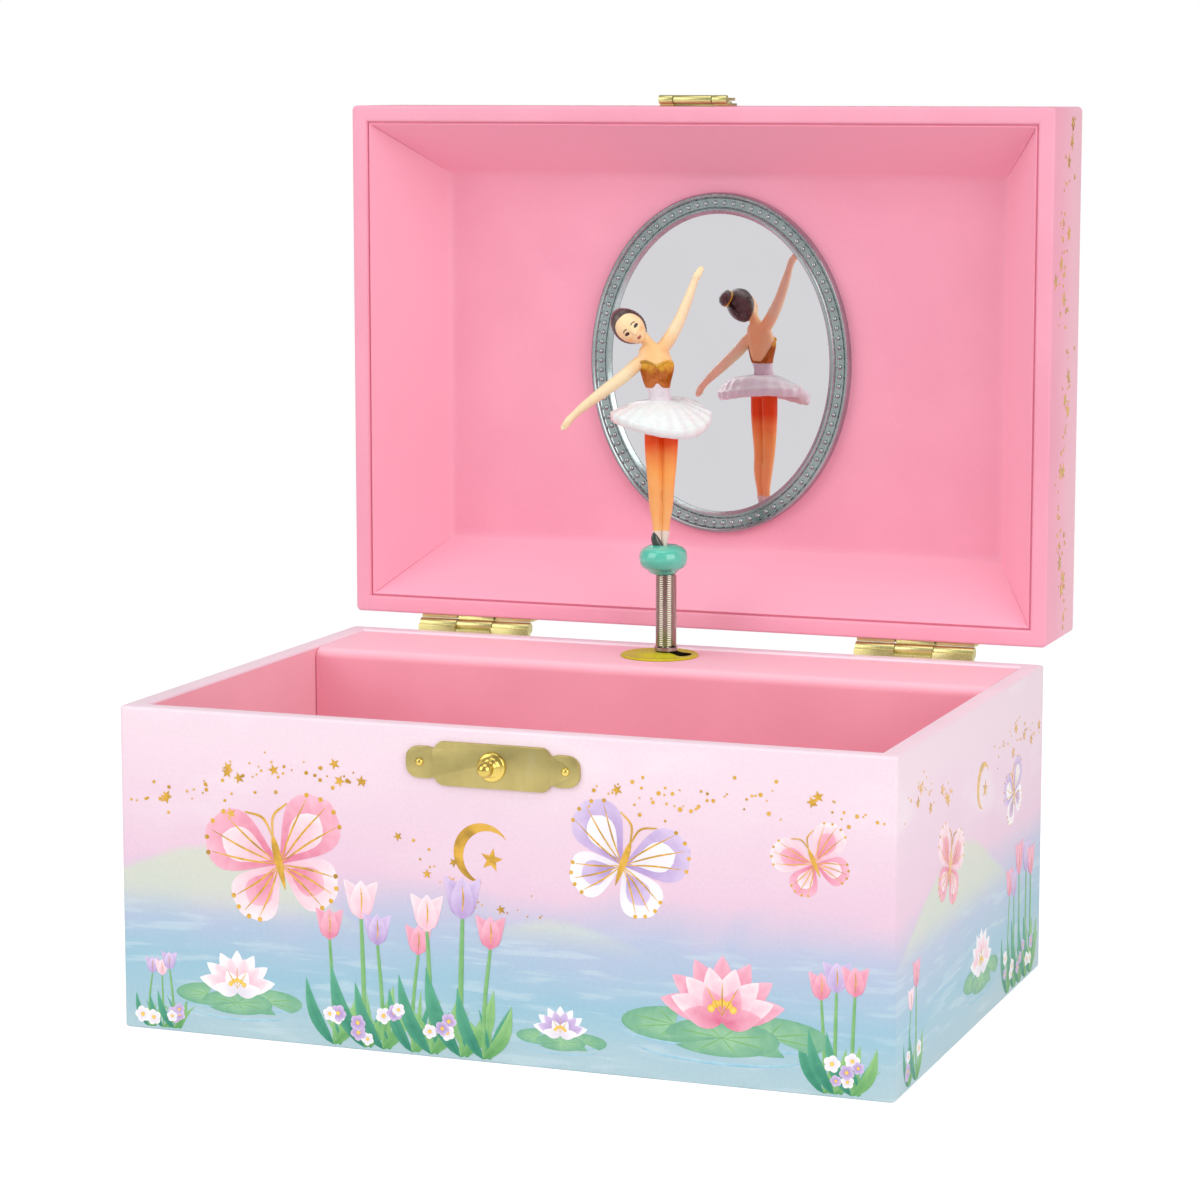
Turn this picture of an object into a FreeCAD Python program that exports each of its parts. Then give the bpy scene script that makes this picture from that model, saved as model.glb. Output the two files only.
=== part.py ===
"""Wind-up musical jewellery box with a folding dancer on a spring, in millimetres.

The origin is the middle of the underside. +X is to the right, +Y to the back and +Z up. The lid stands open
and the dancer stands up, as the box is shown in use.
"""

import FreeCAD
import Part
import math
import os

Vector = FreeCAD.Vector
RIGHT = Vector(1, 0, 0)
BACK = Vector(0, 1, 0)
UP = Vector(0, 0, 1)

# Box
box_width = 152.0
box_depth = 108.0
base_height = 62.0
lid_height = 24.0
base_wall = 4.0
floor_board = 4.0
lining_thickness = 0.8
lid_wall = 3.4
lid_top_board = 3.0
rim_gap = 0.3
lid_open_angle = 90.0

# Ledge that hides the movement
ledge_depth = 25.0
ledge_board = 3.0
ledge_drop = 0.4
partition_board = 3.0
rosette_radius = 8.0
rosette_thickness = 0.5
rosette_dome_radius = 4.6
rosette_dome_height = 0.5

# Hinges
hinge_axis_back = 2.0
hinge_axis_up = 1.2
hinge_length = 25.0
hinge_centre_x = 48.5
hinge_leaf = 0.8
hinge_leaf_height = 8.5
hinge_nail_share = 0.6
knuckle_radius = 1.2
hinge_pin_radius = 0.6
knuckle_gap = 0.15

# Catch
latch_drop = 6.6
latch_sheet = 0.6
latch_middle_length = 20.0
latch_middle_height = 8.2
latch_lobe_radius = 2.9
latch_lobe_x = 14.1
latch_neck_height = 3.6
knob_boss_radius = 2.75
knob_boss_height = 0.8
knob_post_radius = 0.9
knob_post_length = 2.4
knob_ball_radius = 1.5
knob_rivet_radius = 0.8
knob_rivet_length = 2.6
hasp_width = 14.6
hasp_leaf_height = 5.4
hasp_axis_out = 1.4
hasp_axis_up = 1.3
hasp_knuckle_radius = 0.9
hasp_pin_radius = 0.4
hasp_flap_width = 12.0
hasp_neck_width = 8.2
hasp_hole_room = 0.35
hasp_nail_share = 0.55

# Nails and screws
nail_head_radius = 1.0
nail_head_height = 0.4
nail_shank_radius = 0.45
nail_length = 2.6
nail_round = 0.32
screw_head_radius = 1.5
screw_head_height = 0.9
screw_shank_radius = 0.8
screw_bite = 1.0
back_screw_bite = 3.2

# Lid lining and mirror
liner_card = 0.9
liner_inset = 10.0
liner_recess = 0.3
mirror_half_width = 28.75
mirror_half_height = 36.0
mirror_border = 4.5
mirror_frame_height = 2.2
mirror_rebate = 1.5
mirror_glass_thickness = 1.0

# Movement
bedplate_thickness = 1.2
bedplate_left = 29.0
bedplate_right = 22.0
bedplate_bottom_gap = 0.6
bedplate_margin = 2.6
axis_from_wall = 9.6
arbor_height = 19.5
arbor_radius = 1.5
crown_teeth = 54
shaft_pinion_teeth = 9
crown_module = 0.5
crown_disc = 1.2
crown_ring = 1.9
crown_tooth_width = 0.5
crown_addendum = 0.45
crown_dedendum = 0.6
crown_pinion_tooth = 0.55
crown_stand_off = 2.6
pinion_width = 2.0
shaft_radius = 1.0
bearing_plate = 1.2
bearing_half_width = 3.6
bearing_foot = 4.4
drum_radius = 6.2
drum_pin_height = 0.7
drum_pin_radius = 0.16
note_count = 18
note_pitch = 0.72
pins_per_note = 3
pin_stagger = 0.382
drum_end = 0.3
drive_teeth = 50
governor_teeth = 10
governor_module = 0.3
drive_tooth = 0.315
drive_addendum = 0.24
drive_dedendum = 0.36
drive_gear_width = 1.5
tooth_root_flare = 1.3
tooth_tip_taper = 0.55
cup_radius = 11.5
cup_wall = 0.6
cup_length = 12.5
cup_strap_width = 5.0
strap_sheet = 1.2
mainspring_strip = 0.25
mainspring_step = 0.5
mainspring_half_turns = 19
comb_thickness = 1.0
comb_tooth_length = 6.0
comb_body_length = 6.0
comb_slit = 0.26
comb_reach = 0.4
comb_screw_shares = (0.2, 0.8)
governor_arbor_radius = 0.6
wheel_teeth = 24
wheel_module = 0.35
wheel_width = 1.6
wheel_tooth = 0.28
wheel_addendum = 0.245
wheel_dedendum = 0.4
worm_core_radius = 0.75
worm_wire_radius = 0.25
worm_seat = 0.02
worm_turns = 5
worm_shaft_radius = 0.6
frame_sheet = 1.2
fan_radius = 3.8
fan_length = 2.5
fan_blade = 0.4
fan_hub_radius = 1.2

# Winding key
key_hub_radius = 2.6
key_hub_length = 7.0
key_stand_off = 2.0
key_wing_radius = 4.6
key_wing_centre = 5.8
key_wing_eye = 2.0
key_sheet = 1.8

# Spring and dancer
collar_radius = 2.4
collar_height = 0.7
spigot_radius = 1.3
spigot_length = 3.0
coil_outer_radius = 2.15
coil_wire = 0.6
coil_turns = 12
coil_bend = 0.75
spring_length = 15.0
stand_radius = 5.0
stand_height = 6.0
stand_dip = 0.5
peg_radius = 0.8
peg_rise = 1.4
figure_turn = 20.4
leg_height = 22.0
hip_height = 27.0
waist_height = 31.0
toe_radius = 1.3
thigh_radius = 3.4
waist_radius = 2.25
ankle_height = 4.0
ankle_radius = 1.5
knee_height = 11.0
knee_radius = 2.4
hip_round = 1.5
chest_place = (-1.3, 36.6)
chest_radius = 3.1
neck_place = (-3.0, 40.2)
neck_radius = 1.4
head_place = (-6.3, 44.6)
head_radius = 3.2
bun_place = (-9.0, 47.0)
bun_radius = 1.5
held_out_arm = ((-4.2, 38.4), (-11.8, 33.0), (-20.0, 24.6))
raised_arm = ((0.2, 40.6), (4.0, 47.0), (7.4, 56.6))
shoulder_radius = 1.25
elbow_radius = 0.95
hand_radius = 0.6
tutu_drop = 0.6
tutu_radius = 10.4
tutu_droop = 6.4
tutu_thickness = 0.9

# Clearances
running = 0.05
seat = 0.02
free_gap = 0.3
hole_room = 0.5

# Places worked out from the sizes
half_width = box_width / 2
half_depth = box_depth / 2
inner_half_width = half_width - base_wall
inner_half_depth = half_depth - base_wall
ledge_top = base_height - ledge_drop
ledge_under = ledge_top - ledge_board
ledge_front = inner_half_depth - ledge_depth
hinge_y = half_depth + hinge_axis_back
hinge_z = base_height + hinge_axis_up
lid_rim = base_height + rim_gap
lid_top_z = lid_rim + lid_height
lid_ceiling = lid_top_z - lid_top_board
latch_z = base_height - latch_drop
latch_face = -half_depth - latch_sheet
hasp_y = -half_depth - hasp_axis_out
hasp_z = lid_rim + hasp_axis_up
axis_y = inner_half_depth - axis_from_wall
bedplate_face = inner_half_depth - bedplate_thickness
crown_radius = crown_teeth * crown_module / 2
shaft_pinion_radius = shaft_pinion_teeth * crown_module / 2
drive_radius = drive_teeth * governor_module / 2
governor_radius = governor_teeth * governor_module / 2
wheel_radius = wheel_teeth * wheel_module / 2
worm_radius = worm_core_radius + worm_seat + worm_wire_radius
worm_pitch = math.pi * wheel_module
pinion_low = arbor_height + crown_radius - pinion_width / 2
lower_bearing_z = pinion_low + pinion_width + hole_room
drum_low = lower_bearing_z + bearing_plate + free_gap
drum_length = note_count * note_pitch + 2 * drum_end
drive_gear_low = drum_low + drum_length + free_gap
upper_bearing_z = drive_gear_low + drive_gear_width + hole_room
governor_x = -(drive_radius + governor_radius + running)
wheel_low = drive_gear_low + drive_gear_width + 2 * free_gap
worm_z = wheel_low + wheel_width / 2
worm_x = governor_x - wheel_radius - worm_radius
rosette_top = ledge_top + rosette_thickness + rosette_dome_height
collar_low = rosette_top + free_gap
coil_low = collar_low + collar_height
stand_low = coil_low + spring_length
stand_top = stand_low + stand_height
toe_low = stand_top - stand_dip
movement_top = ledge_under - bedplate_bottom_gap
base_leaf_nail_z = base_height - hinge_leaf_height * hinge_nail_share
lid_leaf_nail_z = lid_rim + hinge_leaf_height * hinge_nail_share


def block(x0, x1, y0, y1, z0, z1):
    """A box between two corners."""
    return Part.makeBox(x1 - x0, y1 - y0, z1 - z0, Vector(x0, y0, z0))


def rod(start, direction, radius, length):
    """A plain cylinder."""
    return Part.makeCylinder(radius, length, start, direction)


def upright(x, y, radius, low, high):
    """A cylinder along Z."""
    return rod(Vector(x, y, low), UP, radius, high - low)


def across(y0, y1, x, z, radius):
    """A cylinder along Y."""
    return rod(Vector(x, y0, z), BACK, radius, y1 - y0)


def prism(points, along):
    """A flat outline pushed along a vector."""
    wire = Part.makePolygon(points + points[:1])
    return Part.Face(wire).extrude(along)


def fuse(first, *others):
    """One solid from several that touch or overlap."""
    return first.multiFuse(list(others)).removeSplitter()


def hexahedron(lower, upper):
    """A solid with flat sides between two four-cornered faces listed the same way round."""
    sides = [[lower[i], lower[i - 1], upper[i - 1], upper[i]] for i in range(4)]
    faces = [Part.Face(Part.makePolygon(p + p[:1])) for p in [lower, upper] + sides]
    solid = Part.Solid(Part.Shell(faces))
    solid.fixTolerance(1e-6)
    if solid.Volume < 0:
        solid.reverse()
    return solid


def ring(centre, direction, outer, inner, length):
    """A plain bush."""
    return rod(centre, direction, outer, length).cut(rod(centre, direction, inner, length))


def opened(shape):
    """A lid piece drawn with the lid shut, swung to where it stands open."""
    return shape.rotated(Vector(0, hinge_y, hinge_z), RIGHT, -lid_open_angle)


def nail(place, inward):
    """A domed nail whose head rests on the plate at place."""
    head = rod(place, -inward, nail_head_radius, nail_head_height)
    rim = [e for e in head.Edges if e.Closed and e.CenterOfMass.distanceToPoint(place) > nail_head_height / 2]
    head = head.makeFillet(nail_round, rim)
    return fuse(head, rod(place, inward, nail_shank_radius, nail_length))


def nail_hole(place, inward):
    """The hole that a nail needs in its plate and in the wood."""
    return rod(place, inward, nail_shank_radius + seat, nail_length + seat)


def gear(teeth, module, height, low, centre, turn, thickness, addendum, dedendum):
    """A spur gear along Z with straight-sided teeth, one of them at the angle turn."""
    pitch_radius = teeth * module / 2
    root = pitch_radius - dedendum
    tip = pitch_radius + addendum
    root_width = thickness * tooth_root_flare
    tip_width = thickness * tooth_tip_taper
    points = []
    for i in range(teeth):
        middle = turn + 2 * math.pi * i / teeth
        for radius, width in (
            (root, root_width), (tip, tip_width), (tip, -tip_width), (root, -root_width)
        ):
            angle = middle - width / 2 / radius
            points.append(centre + Vector(radius * math.cos(angle), radius * math.sin(angle), low))
    return prism(points, UP * height)


def biarc(start, start_way, end, end_way):
    """Two arcs that leave start and reach end along the given directions."""
    gap = end - start
    total = start_way + end_way
    spread = 2 * (1 - start_way.dot(end_way))
    root = math.sqrt(gap.dot(total) ** 2 + spread * gap.dot(gap))
    reach = (root - gap.dot(total)) / spread
    first = start + start_way * reach
    second = end - end_way * reach
    middle = (first + second) * 0.5
    return [bend(start, first, middle), bend(middle, second, end)]


def bend(start, corner, end):
    """The arc from start to end whose end tangents meet at corner."""
    chord_middle = (start + end) * 0.5
    lift = corner - chord_middle
    slope = math.atan2(lift.Length, (end - start).Length / 2)
    top = chord_middle + lift * (math.tan(slope / 2) / math.tan(slope))
    return Part.Arc(start, top, end).toShape()


def helix_point(centre, across_one, across_two, along, radius, pitch, angle):
    """A point of a right-handed helix and the way it runs there."""
    turned = across_one * math.cos(angle) + across_two * math.sin(angle)
    way = (across_two * math.cos(angle) - across_one * math.sin(angle)) * radius
    rise = pitch / (2 * math.pi)
    point = centre + turned * radius + along * (rise * angle)
    direction = way + along * rise
    return point, direction.normalize()


def helix_edges(centre, across_one, across_two, along, radius, pitch, first, last):
    """A helix as arcs, a quarter turn at a time."""
    edges = []
    quarters = round((last - first) / (math.pi / 2))
    for i in range(quarters):
        ends = [first + (last - first) * (i + k) / quarters for k in (0, 1)]
        one, two = [helix_point(centre, across_one, across_two, along, radius, pitch, a) for a in ends]
        edges += biarc(one[0], one[1], two[0], two[1])
    return edges


def tube(edges, radius):
    """A round wire along joined edges."""
    path = Part.Wire(edges)
    start = path.OrderedEdges[0]
    way = start.tangentAt(start.FirstParameter)
    section = Part.Wire(Part.makeCircle(radius, start.valueAt(start.FirstParameter), way))
    return path.makePipeShell([section], True, False)


def oval(half_x, half_y, low, high):
    """An upright elliptical plate."""
    if half_y > half_x:
        edge = Part.Ellipse(Vector(0, half_y, low), Vector(half_x, 0, low), Vector(0, 0, low)).toShape()
    else:
        edge = Part.Ellipse(Vector(half_x, 0, low), Vector(0, half_y, low), Vector(0, 0, low)).toShape()
    return Part.Face(Part.Wire(edge)).extrude(UP * (high - low))


def screw(place, length):
    """A cheese-head screw driven towards the back, its head on the face at place."""
    head = rod(place - BACK * screw_head_height, BACK, screw_head_radius, screw_head_height)
    slot_half = screw_shank_radius / 3
    slot = block(
        place.x - screw_head_radius, place.x + screw_head_radius,
        place.y - screw_head_height, place.y - screw_head_height / 2,
        place.z - slot_half, place.z + slot_half,
    )
    return fuse(head.cut(slot), rod(place, BACK, screw_shank_radius, length))


def screw_places():
    """Where each screw of the movement sits and how deep it goes."""
    low = floor_board + bedplate_bottom_gap + bedplate_margin
    high = movement_top - bedplate_margin
    left = -bedplate_left + bedplate_margin
    right = bedplate_right - bedplate_margin
    deep = bedplate_thickness + back_screw_bite
    places = [(Vector(x, bedplate_face, z), deep) for x in (left, right) for z in (low, high)]
    foot_face = bedplate_face - strap_sheet
    shallow = strap_sheet + screw_bite
    for side in (-1, 1):
        places.append((Vector(side * strap_foot_x(), foot_face, arbor_height), shallow))
    bearing_face = bedplate_face - bearing_plate
    for z in (lower_bearing_z - bearing_foot / 2, upper_bearing_z + bearing_plate + bearing_foot / 2):
        places.append((Vector(0, bearing_face, z), shallow))
    places.append((Vector(frame_foot_x(), foot_face, worm_z), shallow))
    comb_face = axis_y - comb_thickness / 2
    comb_deep = inner_half_depth - bedplate_thickness + screw_bite - comb_face
    for share in comb_screw_shares:
        z = drum_low + drum_length * share
        places.append((Vector(comb_screw_x(), comb_face, z), comb_deep))
    return places


def strap_foot_x():
    """Distance of a cup strap's foot screw from the arbor."""
    return crown_radius + crown_ring + strap_sheet + screw_head_radius + free_gap


def frame_side_x():
    """Outer face of the governor frame's side plate."""
    return worm_x - fan_radius - hole_room - frame_sheet


def frame_foot_x():
    """Middle of the governor frame's foot."""
    return frame_side_x() - screw_head_radius - free_gap


def comb_screw_x():
    """Middle of the comb's thick end."""
    return drum_radius + drum_pin_height + comb_reach + comb_tooth_length + comb_body_length / 2


def drilled(shape):
    """A movement piece or panel with the screw holes that pass through it."""
    holes = [rod(place, BACK, screw_shank_radius + seat, length + seat) for place, length in screw_places()]
    return shape.cut(Part.makeCompound(holes))


def latch_nail_places():
    """Nails at both ends of the latch plate."""
    return [Vector(side * latch_lobe_x, latch_face, latch_z) for side in (-1, 1)]


def hinge_nail_places(z):
    """Two nails in each hinge leaf at one height."""
    face = half_depth + hinge_leaf
    spread = hinge_length / 4
    return [
        Vector(side * hinge_centre_x + offset, face, z)
        for side in (-1, 1)
        for offset in (-spread, spread)
    ]


def hasp_nail_places():
    """Two nails that hold the hasp leaf to the lid."""
    z = hasp_z + hasp_knuckle_radius + hasp_leaf_height * hasp_nail_share
    x = hasp_width / 2 - nail_head_radius - free_gap
    return [Vector(side * x, -half_depth - latch_sheet, z) for side in (-1, 1)]


def make_base():
    """The five boards of the base, the lining, the partition and the ledge."""
    front = block(-half_width, half_width, -half_depth, -inner_half_depth, 0, base_height)
    front = front.cut(Part.makeCompound([nail_hole(p, BACK) for p in latch_nail_places()]))
    rivet = across(latch_face, latch_face + knob_rivet_length + seat, 0, latch_z, knob_rivet_radius + seat)
    front = front.cut(rivet)
    back = block(-half_width, half_width, inner_half_depth, half_depth, 0, base_height)
    back = back.cut(across(inner_half_depth, half_depth, 0, arbor_height, arbor_radius + hole_room))
    back = back.cut(Part.makeCompound([nail_hole(p, -BACK) for p in hinge_nail_places(base_leaf_nail_z)]))
    lining_front = -inner_half_depth + free_gap
    lining_back = ledge_front - free_gap
    lining_side = inner_half_width - free_gap
    lining_top = floor_board + lining_thickness
    partition_back = ledge_front + partition_board
    ledge = block(-inner_half_width, inner_half_width, ledge_front, inner_half_depth, ledge_under, ledge_top)
    ledge = ledge.cut(upright(0, axis_y, shaft_radius + hole_room, ledge_under, ledge_top))
    rosette = fuse(
        upright(0, axis_y, rosette_radius, ledge_top, ledge_top + rosette_thickness),
        upright(0, axis_y, rosette_dome_radius, ledge_top, rosette_top),
    )
    return {
        "base_front": front,
        "base_back": drilled(back),
        "base_left": block(
            -half_width, -inner_half_width, -inner_half_depth, inner_half_depth, 0, base_height
        ),
        "base_right": block(
            inner_half_width, half_width, -inner_half_depth, inner_half_depth, 0, base_height
        ),
        "base_floor": block(
            -inner_half_width, inner_half_width, -inner_half_depth, inner_half_depth, 0, floor_board
        ),
        "compartment_lining": block(
            -lining_side, lining_side, lining_front, lining_back, floor_board, lining_top
        ),
        "compartment_partition": block(
            -inner_half_width, inner_half_width, ledge_front, partition_back, floor_board, ledge_under
        ),
        "dancer_ledge": ledge,
        "ledge_rosette": rosette.cut(upright(0, axis_y, shaft_radius + hole_room, ledge_top, rosette_top)),
    }


def make_latch():
    """The plate, knob and nails on the front of the base."""
    low = latch_z - latch_middle_height / 2
    half = latch_middle_length / 2
    plate = block(-half, half, latch_face, -half_depth, low, low + latch_middle_height)
    neck = latch_neck_height / 2
    bar = block(-latch_lobe_x, latch_lobe_x, latch_face, -half_depth, latch_z - neck, latch_z + neck)
    lobes = [
        across(latch_face, -half_depth, side * latch_lobe_x, latch_z, latch_lobe_radius) for side in (-1, 1)
    ]
    plate = fuse(plate, bar, *lobes)
    plate = plate.cut(Part.makeCompound([nail_hole(p, BACK) for p in latch_nail_places()]))
    plate = plate.cut(across(latch_face, -half_depth, 0, latch_z, knob_rivet_radius + seat))
    boss_face = latch_face - knob_boss_height
    post_end = boss_face - knob_post_length
    knob = fuse(
        across(boss_face, latch_face, 0, latch_z, knob_boss_radius),
        across(post_end, boss_face, 0, latch_z, knob_post_radius),
        Part.makeSphere(knob_ball_radius, Vector(0, post_end, latch_z)),
        across(latch_face, latch_face + knob_rivet_length, 0, latch_z, knob_rivet_radius),
    )
    nails = [nail(p, BACK) for p in latch_nail_places()]
    return {"latch_plate": plate, "latch_knob": knob, "latch_nails": Part.makeCompound(nails)}


def hinge_leaf_shape(centre_x, spans, plate_low, plate_high, web_low, web_high, bore, nail_z):
    """One hinge leaf: a plate, the knuckles in spans and the webs that join them to the plate."""
    left = centre_x - hinge_length / 2
    plate = block(left, left + hinge_length, half_depth, half_depth + hinge_leaf, plate_low, plate_high)
    pieces = []
    for first, last in spans:
        start = left + first
        pieces.append(rod(Vector(start, hinge_y, hinge_z), RIGHT, knuckle_radius, last - first))
        pieces.append(block(start, left + last, half_depth, hinge_y, web_low, web_high))
    leaf = fuse(plate, *pieces)
    leaf = leaf.cut(rod(Vector(left, hinge_y, hinge_z), RIGHT, bore, hinge_length))
    holes = [nail_hole(p, -BACK) for p in hinge_nail_places(nail_z)]
    return leaf.cut(Part.makeCompound(holes))


def make_hinges():
    """Two butt hinges with their pins and nails."""
    third = hinge_length / 3
    middle_span = [(third + knuckle_gap, 2 * third - knuckle_gap)]
    end_spans = [(0, third), (2 * third, hinge_length)]
    base_low = base_height - hinge_leaf_height
    lid_high = lid_rim + hinge_leaf_height
    pieces = {}
    for name, side in (("left", -1), ("right", 1)):
        x = side * hinge_centre_x
        pieces[f"hinge_{name}_base_leaf"] = hinge_leaf_shape(
            x, end_spans, base_low, base_height, base_height - hinge_leaf, hinge_z, hinge_pin_radius + seat,
            base_leaf_nail_z,
        )
        lid_leaf = hinge_leaf_shape(
            x, middle_span, lid_rim + 2 * hinge_axis_up, lid_high, hinge_z, lid_rim + 3 * hinge_axis_up,
            hinge_pin_radius + running, lid_leaf_nail_z,
        )
        pieces[f"hinge_{name}_lid_leaf"] = opened(lid_leaf)
    pins = []
    for side in (-1, 1):
        pin_end = Vector(side * hinge_centre_x - hinge_length / 2, hinge_y, hinge_z)
        pins.append(rod(pin_end, RIGHT, hinge_pin_radius, hinge_length))
    base_nails = [nail(p, -BACK) for p in hinge_nail_places(base_leaf_nail_z)]
    lid_nails = [opened(nail(p, -BACK)) for p in hinge_nail_places(lid_leaf_nail_z)]
    pieces["hinge_pins"] = Part.makeCompound(pins)
    pieces["hinge_base_nails"] = Part.makeCompound(base_nails)
    pieces["hinge_lid_nails"] = Part.makeCompound(lid_nails)
    return pieces


def make_lid():
    """The five boards of the lid, swung open."""
    inner_x = half_width - lid_wall
    inner_y = half_depth - lid_wall
    front = block(-half_width, half_width, -half_depth, -inner_y, lid_rim, lid_ceiling)
    front = front.cut(Part.makeCompound([nail_hole(p, BACK) for p in hasp_nail_places()]))
    back = block(-half_width, half_width, inner_y, half_depth, lid_rim, lid_ceiling)
    back = back.cut(Part.makeCompound([nail_hole(p, -BACK) for p in hinge_nail_places(lid_leaf_nail_z)]))
    boards = {
        "lid_top": block(-half_width, half_width, -half_depth, half_depth, lid_ceiling, lid_top_z),
        "lid_front": front,
        "lid_back": back,
        "lid_left": block(-half_width, -inner_x, -inner_y, inner_y, lid_rim, lid_ceiling),
        "lid_right": block(inner_x, half_width, -inner_y, inner_y, lid_rim, lid_ceiling),
    }
    return {name: opened(shape) for name, shape in boards.items()}


def liner_corners(inset, z):
    """Corners of the liner's outline at one height, going round from the front left."""
    x = half_width - lid_wall - seat - inset
    y = half_depth - lid_wall - seat - inset
    return [Vector(-x, -y, z), Vector(x, -y, z), Vector(x, y, z), Vector(-x, y, z)]


def make_liner():
    """Four sloping cards, the ceiling card and the oval mirror in the lid."""
    rim_z = lid_rim + liner_recess
    outer_rim = liner_corners(0, rim_z)
    inner_rim = liner_corners(liner_card, rim_z)
    outer_top = liner_corners(liner_inset, lid_ceiling)
    inner_top = liner_corners(liner_inset + liner_card, lid_ceiling)
    cards = {}
    for i, name in enumerate(("liner_front", "liner_right", "liner_back", "liner_left")):
        j = (i + 1) % 4
        lower = [outer_rim[i], outer_rim[j], inner_rim[j], inner_rim[i]]
        upper = [outer_top[i], outer_top[j], inner_top[j], inner_top[i]]
        cards[name] = hexahedron(lower, upper)
    corner = liner_corners(liner_inset + liner_card + seat, lid_ceiling)[2]
    card_low = lid_ceiling - liner_card
    cards["liner_ceiling"] = block(-corner.x, corner.x, -corner.y, corner.y, card_low, lid_ceiling)
    frame_low = card_low - mirror_frame_height
    glass_low = card_low - mirror_glass_thickness
    clear_x = mirror_half_width - mirror_border
    clear_y = mirror_half_height - mirror_border
    frame = oval(mirror_half_width, mirror_half_height, frame_low, card_low)
    frame = frame.cut(oval(clear_x, clear_y, frame_low, card_low))
    frame = frame.cut(oval(clear_x + mirror_rebate, clear_y + mirror_rebate, glass_low - seat, card_low))
    glass_room = mirror_rebate - running
    cards["mirror_frame"] = frame
    cards["mirror_glass"] = oval(clear_x + glass_room, clear_y + glass_room, glass_low, card_low)
    return {name: opened(shape) for name, shape in cards.items()}


def make_hasp():
    """The hinged flap on the front of the lid, folded back against the lid."""
    half = hasp_width / 2
    neck = hasp_neck_width / 2
    face = -half_depth - latch_sheet
    leaf_low = hasp_z + hasp_knuckle_radius + knuckle_gap
    leaf = block(-half, half, face, -half_depth, leaf_low, leaf_low + hasp_leaf_height)
    ears = []
    for left, right in ((-half, -neck - knuckle_gap), (neck + knuckle_gap, half)):
        ears.append(rod(Vector(left, hasp_y, hasp_z), RIGHT, hasp_knuckle_radius, right - left))
        ears.append(block(left, right, hasp_y, -half_depth, hasp_z, leaf_low))
    leaf = fuse(leaf, *ears)
    leaf = leaf.cut(rod(Vector(-half, hasp_y, hasp_z), RIGHT, hasp_pin_radius + seat, hasp_width))
    leaf = leaf.cut(Part.makeCompound([nail_hole(p, BACK) for p in hasp_nail_places()]))
    reach = hasp_z - latch_z
    inner = hasp_y - latch_sheet / 2
    outer = hasp_y + latch_sheet / 2
    wide = hasp_flap_width / 2
    shoulder = hasp_z + hasp_knuckle_radius + 2 * knuckle_gap
    flap = fuse(
        rod(Vector(-neck, hasp_y, hasp_z), RIGHT, hasp_knuckle_radius, hasp_neck_width),
        block(-neck, neck, inner, outer, hasp_z, shoulder),
        block(-wide, wide, inner, outer, shoulder, hasp_z + reach),
        across(inner, outer, 0, hasp_z + reach, wide),
    )
    flap = flap.cut(across(inner, outer, 0, hasp_z + reach, knob_boss_radius + hasp_hole_room))
    flap = flap.cut(rod(Vector(-neck, hasp_y, hasp_z), RIGHT, hasp_pin_radius + running, hasp_neck_width))
    pieces = {
        "hasp_leaf": leaf,
        "hasp_pin": rod(Vector(-half, hasp_y, hasp_z), RIGHT, hasp_pin_radius, hasp_width),
        "hasp_flap": flap,
        "hasp_nails": Part.makeCompound([nail(p, BACK) for p in hasp_nail_places()]),
    }
    return {name: opened(shape) for name, shape in pieces.items()}


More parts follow.
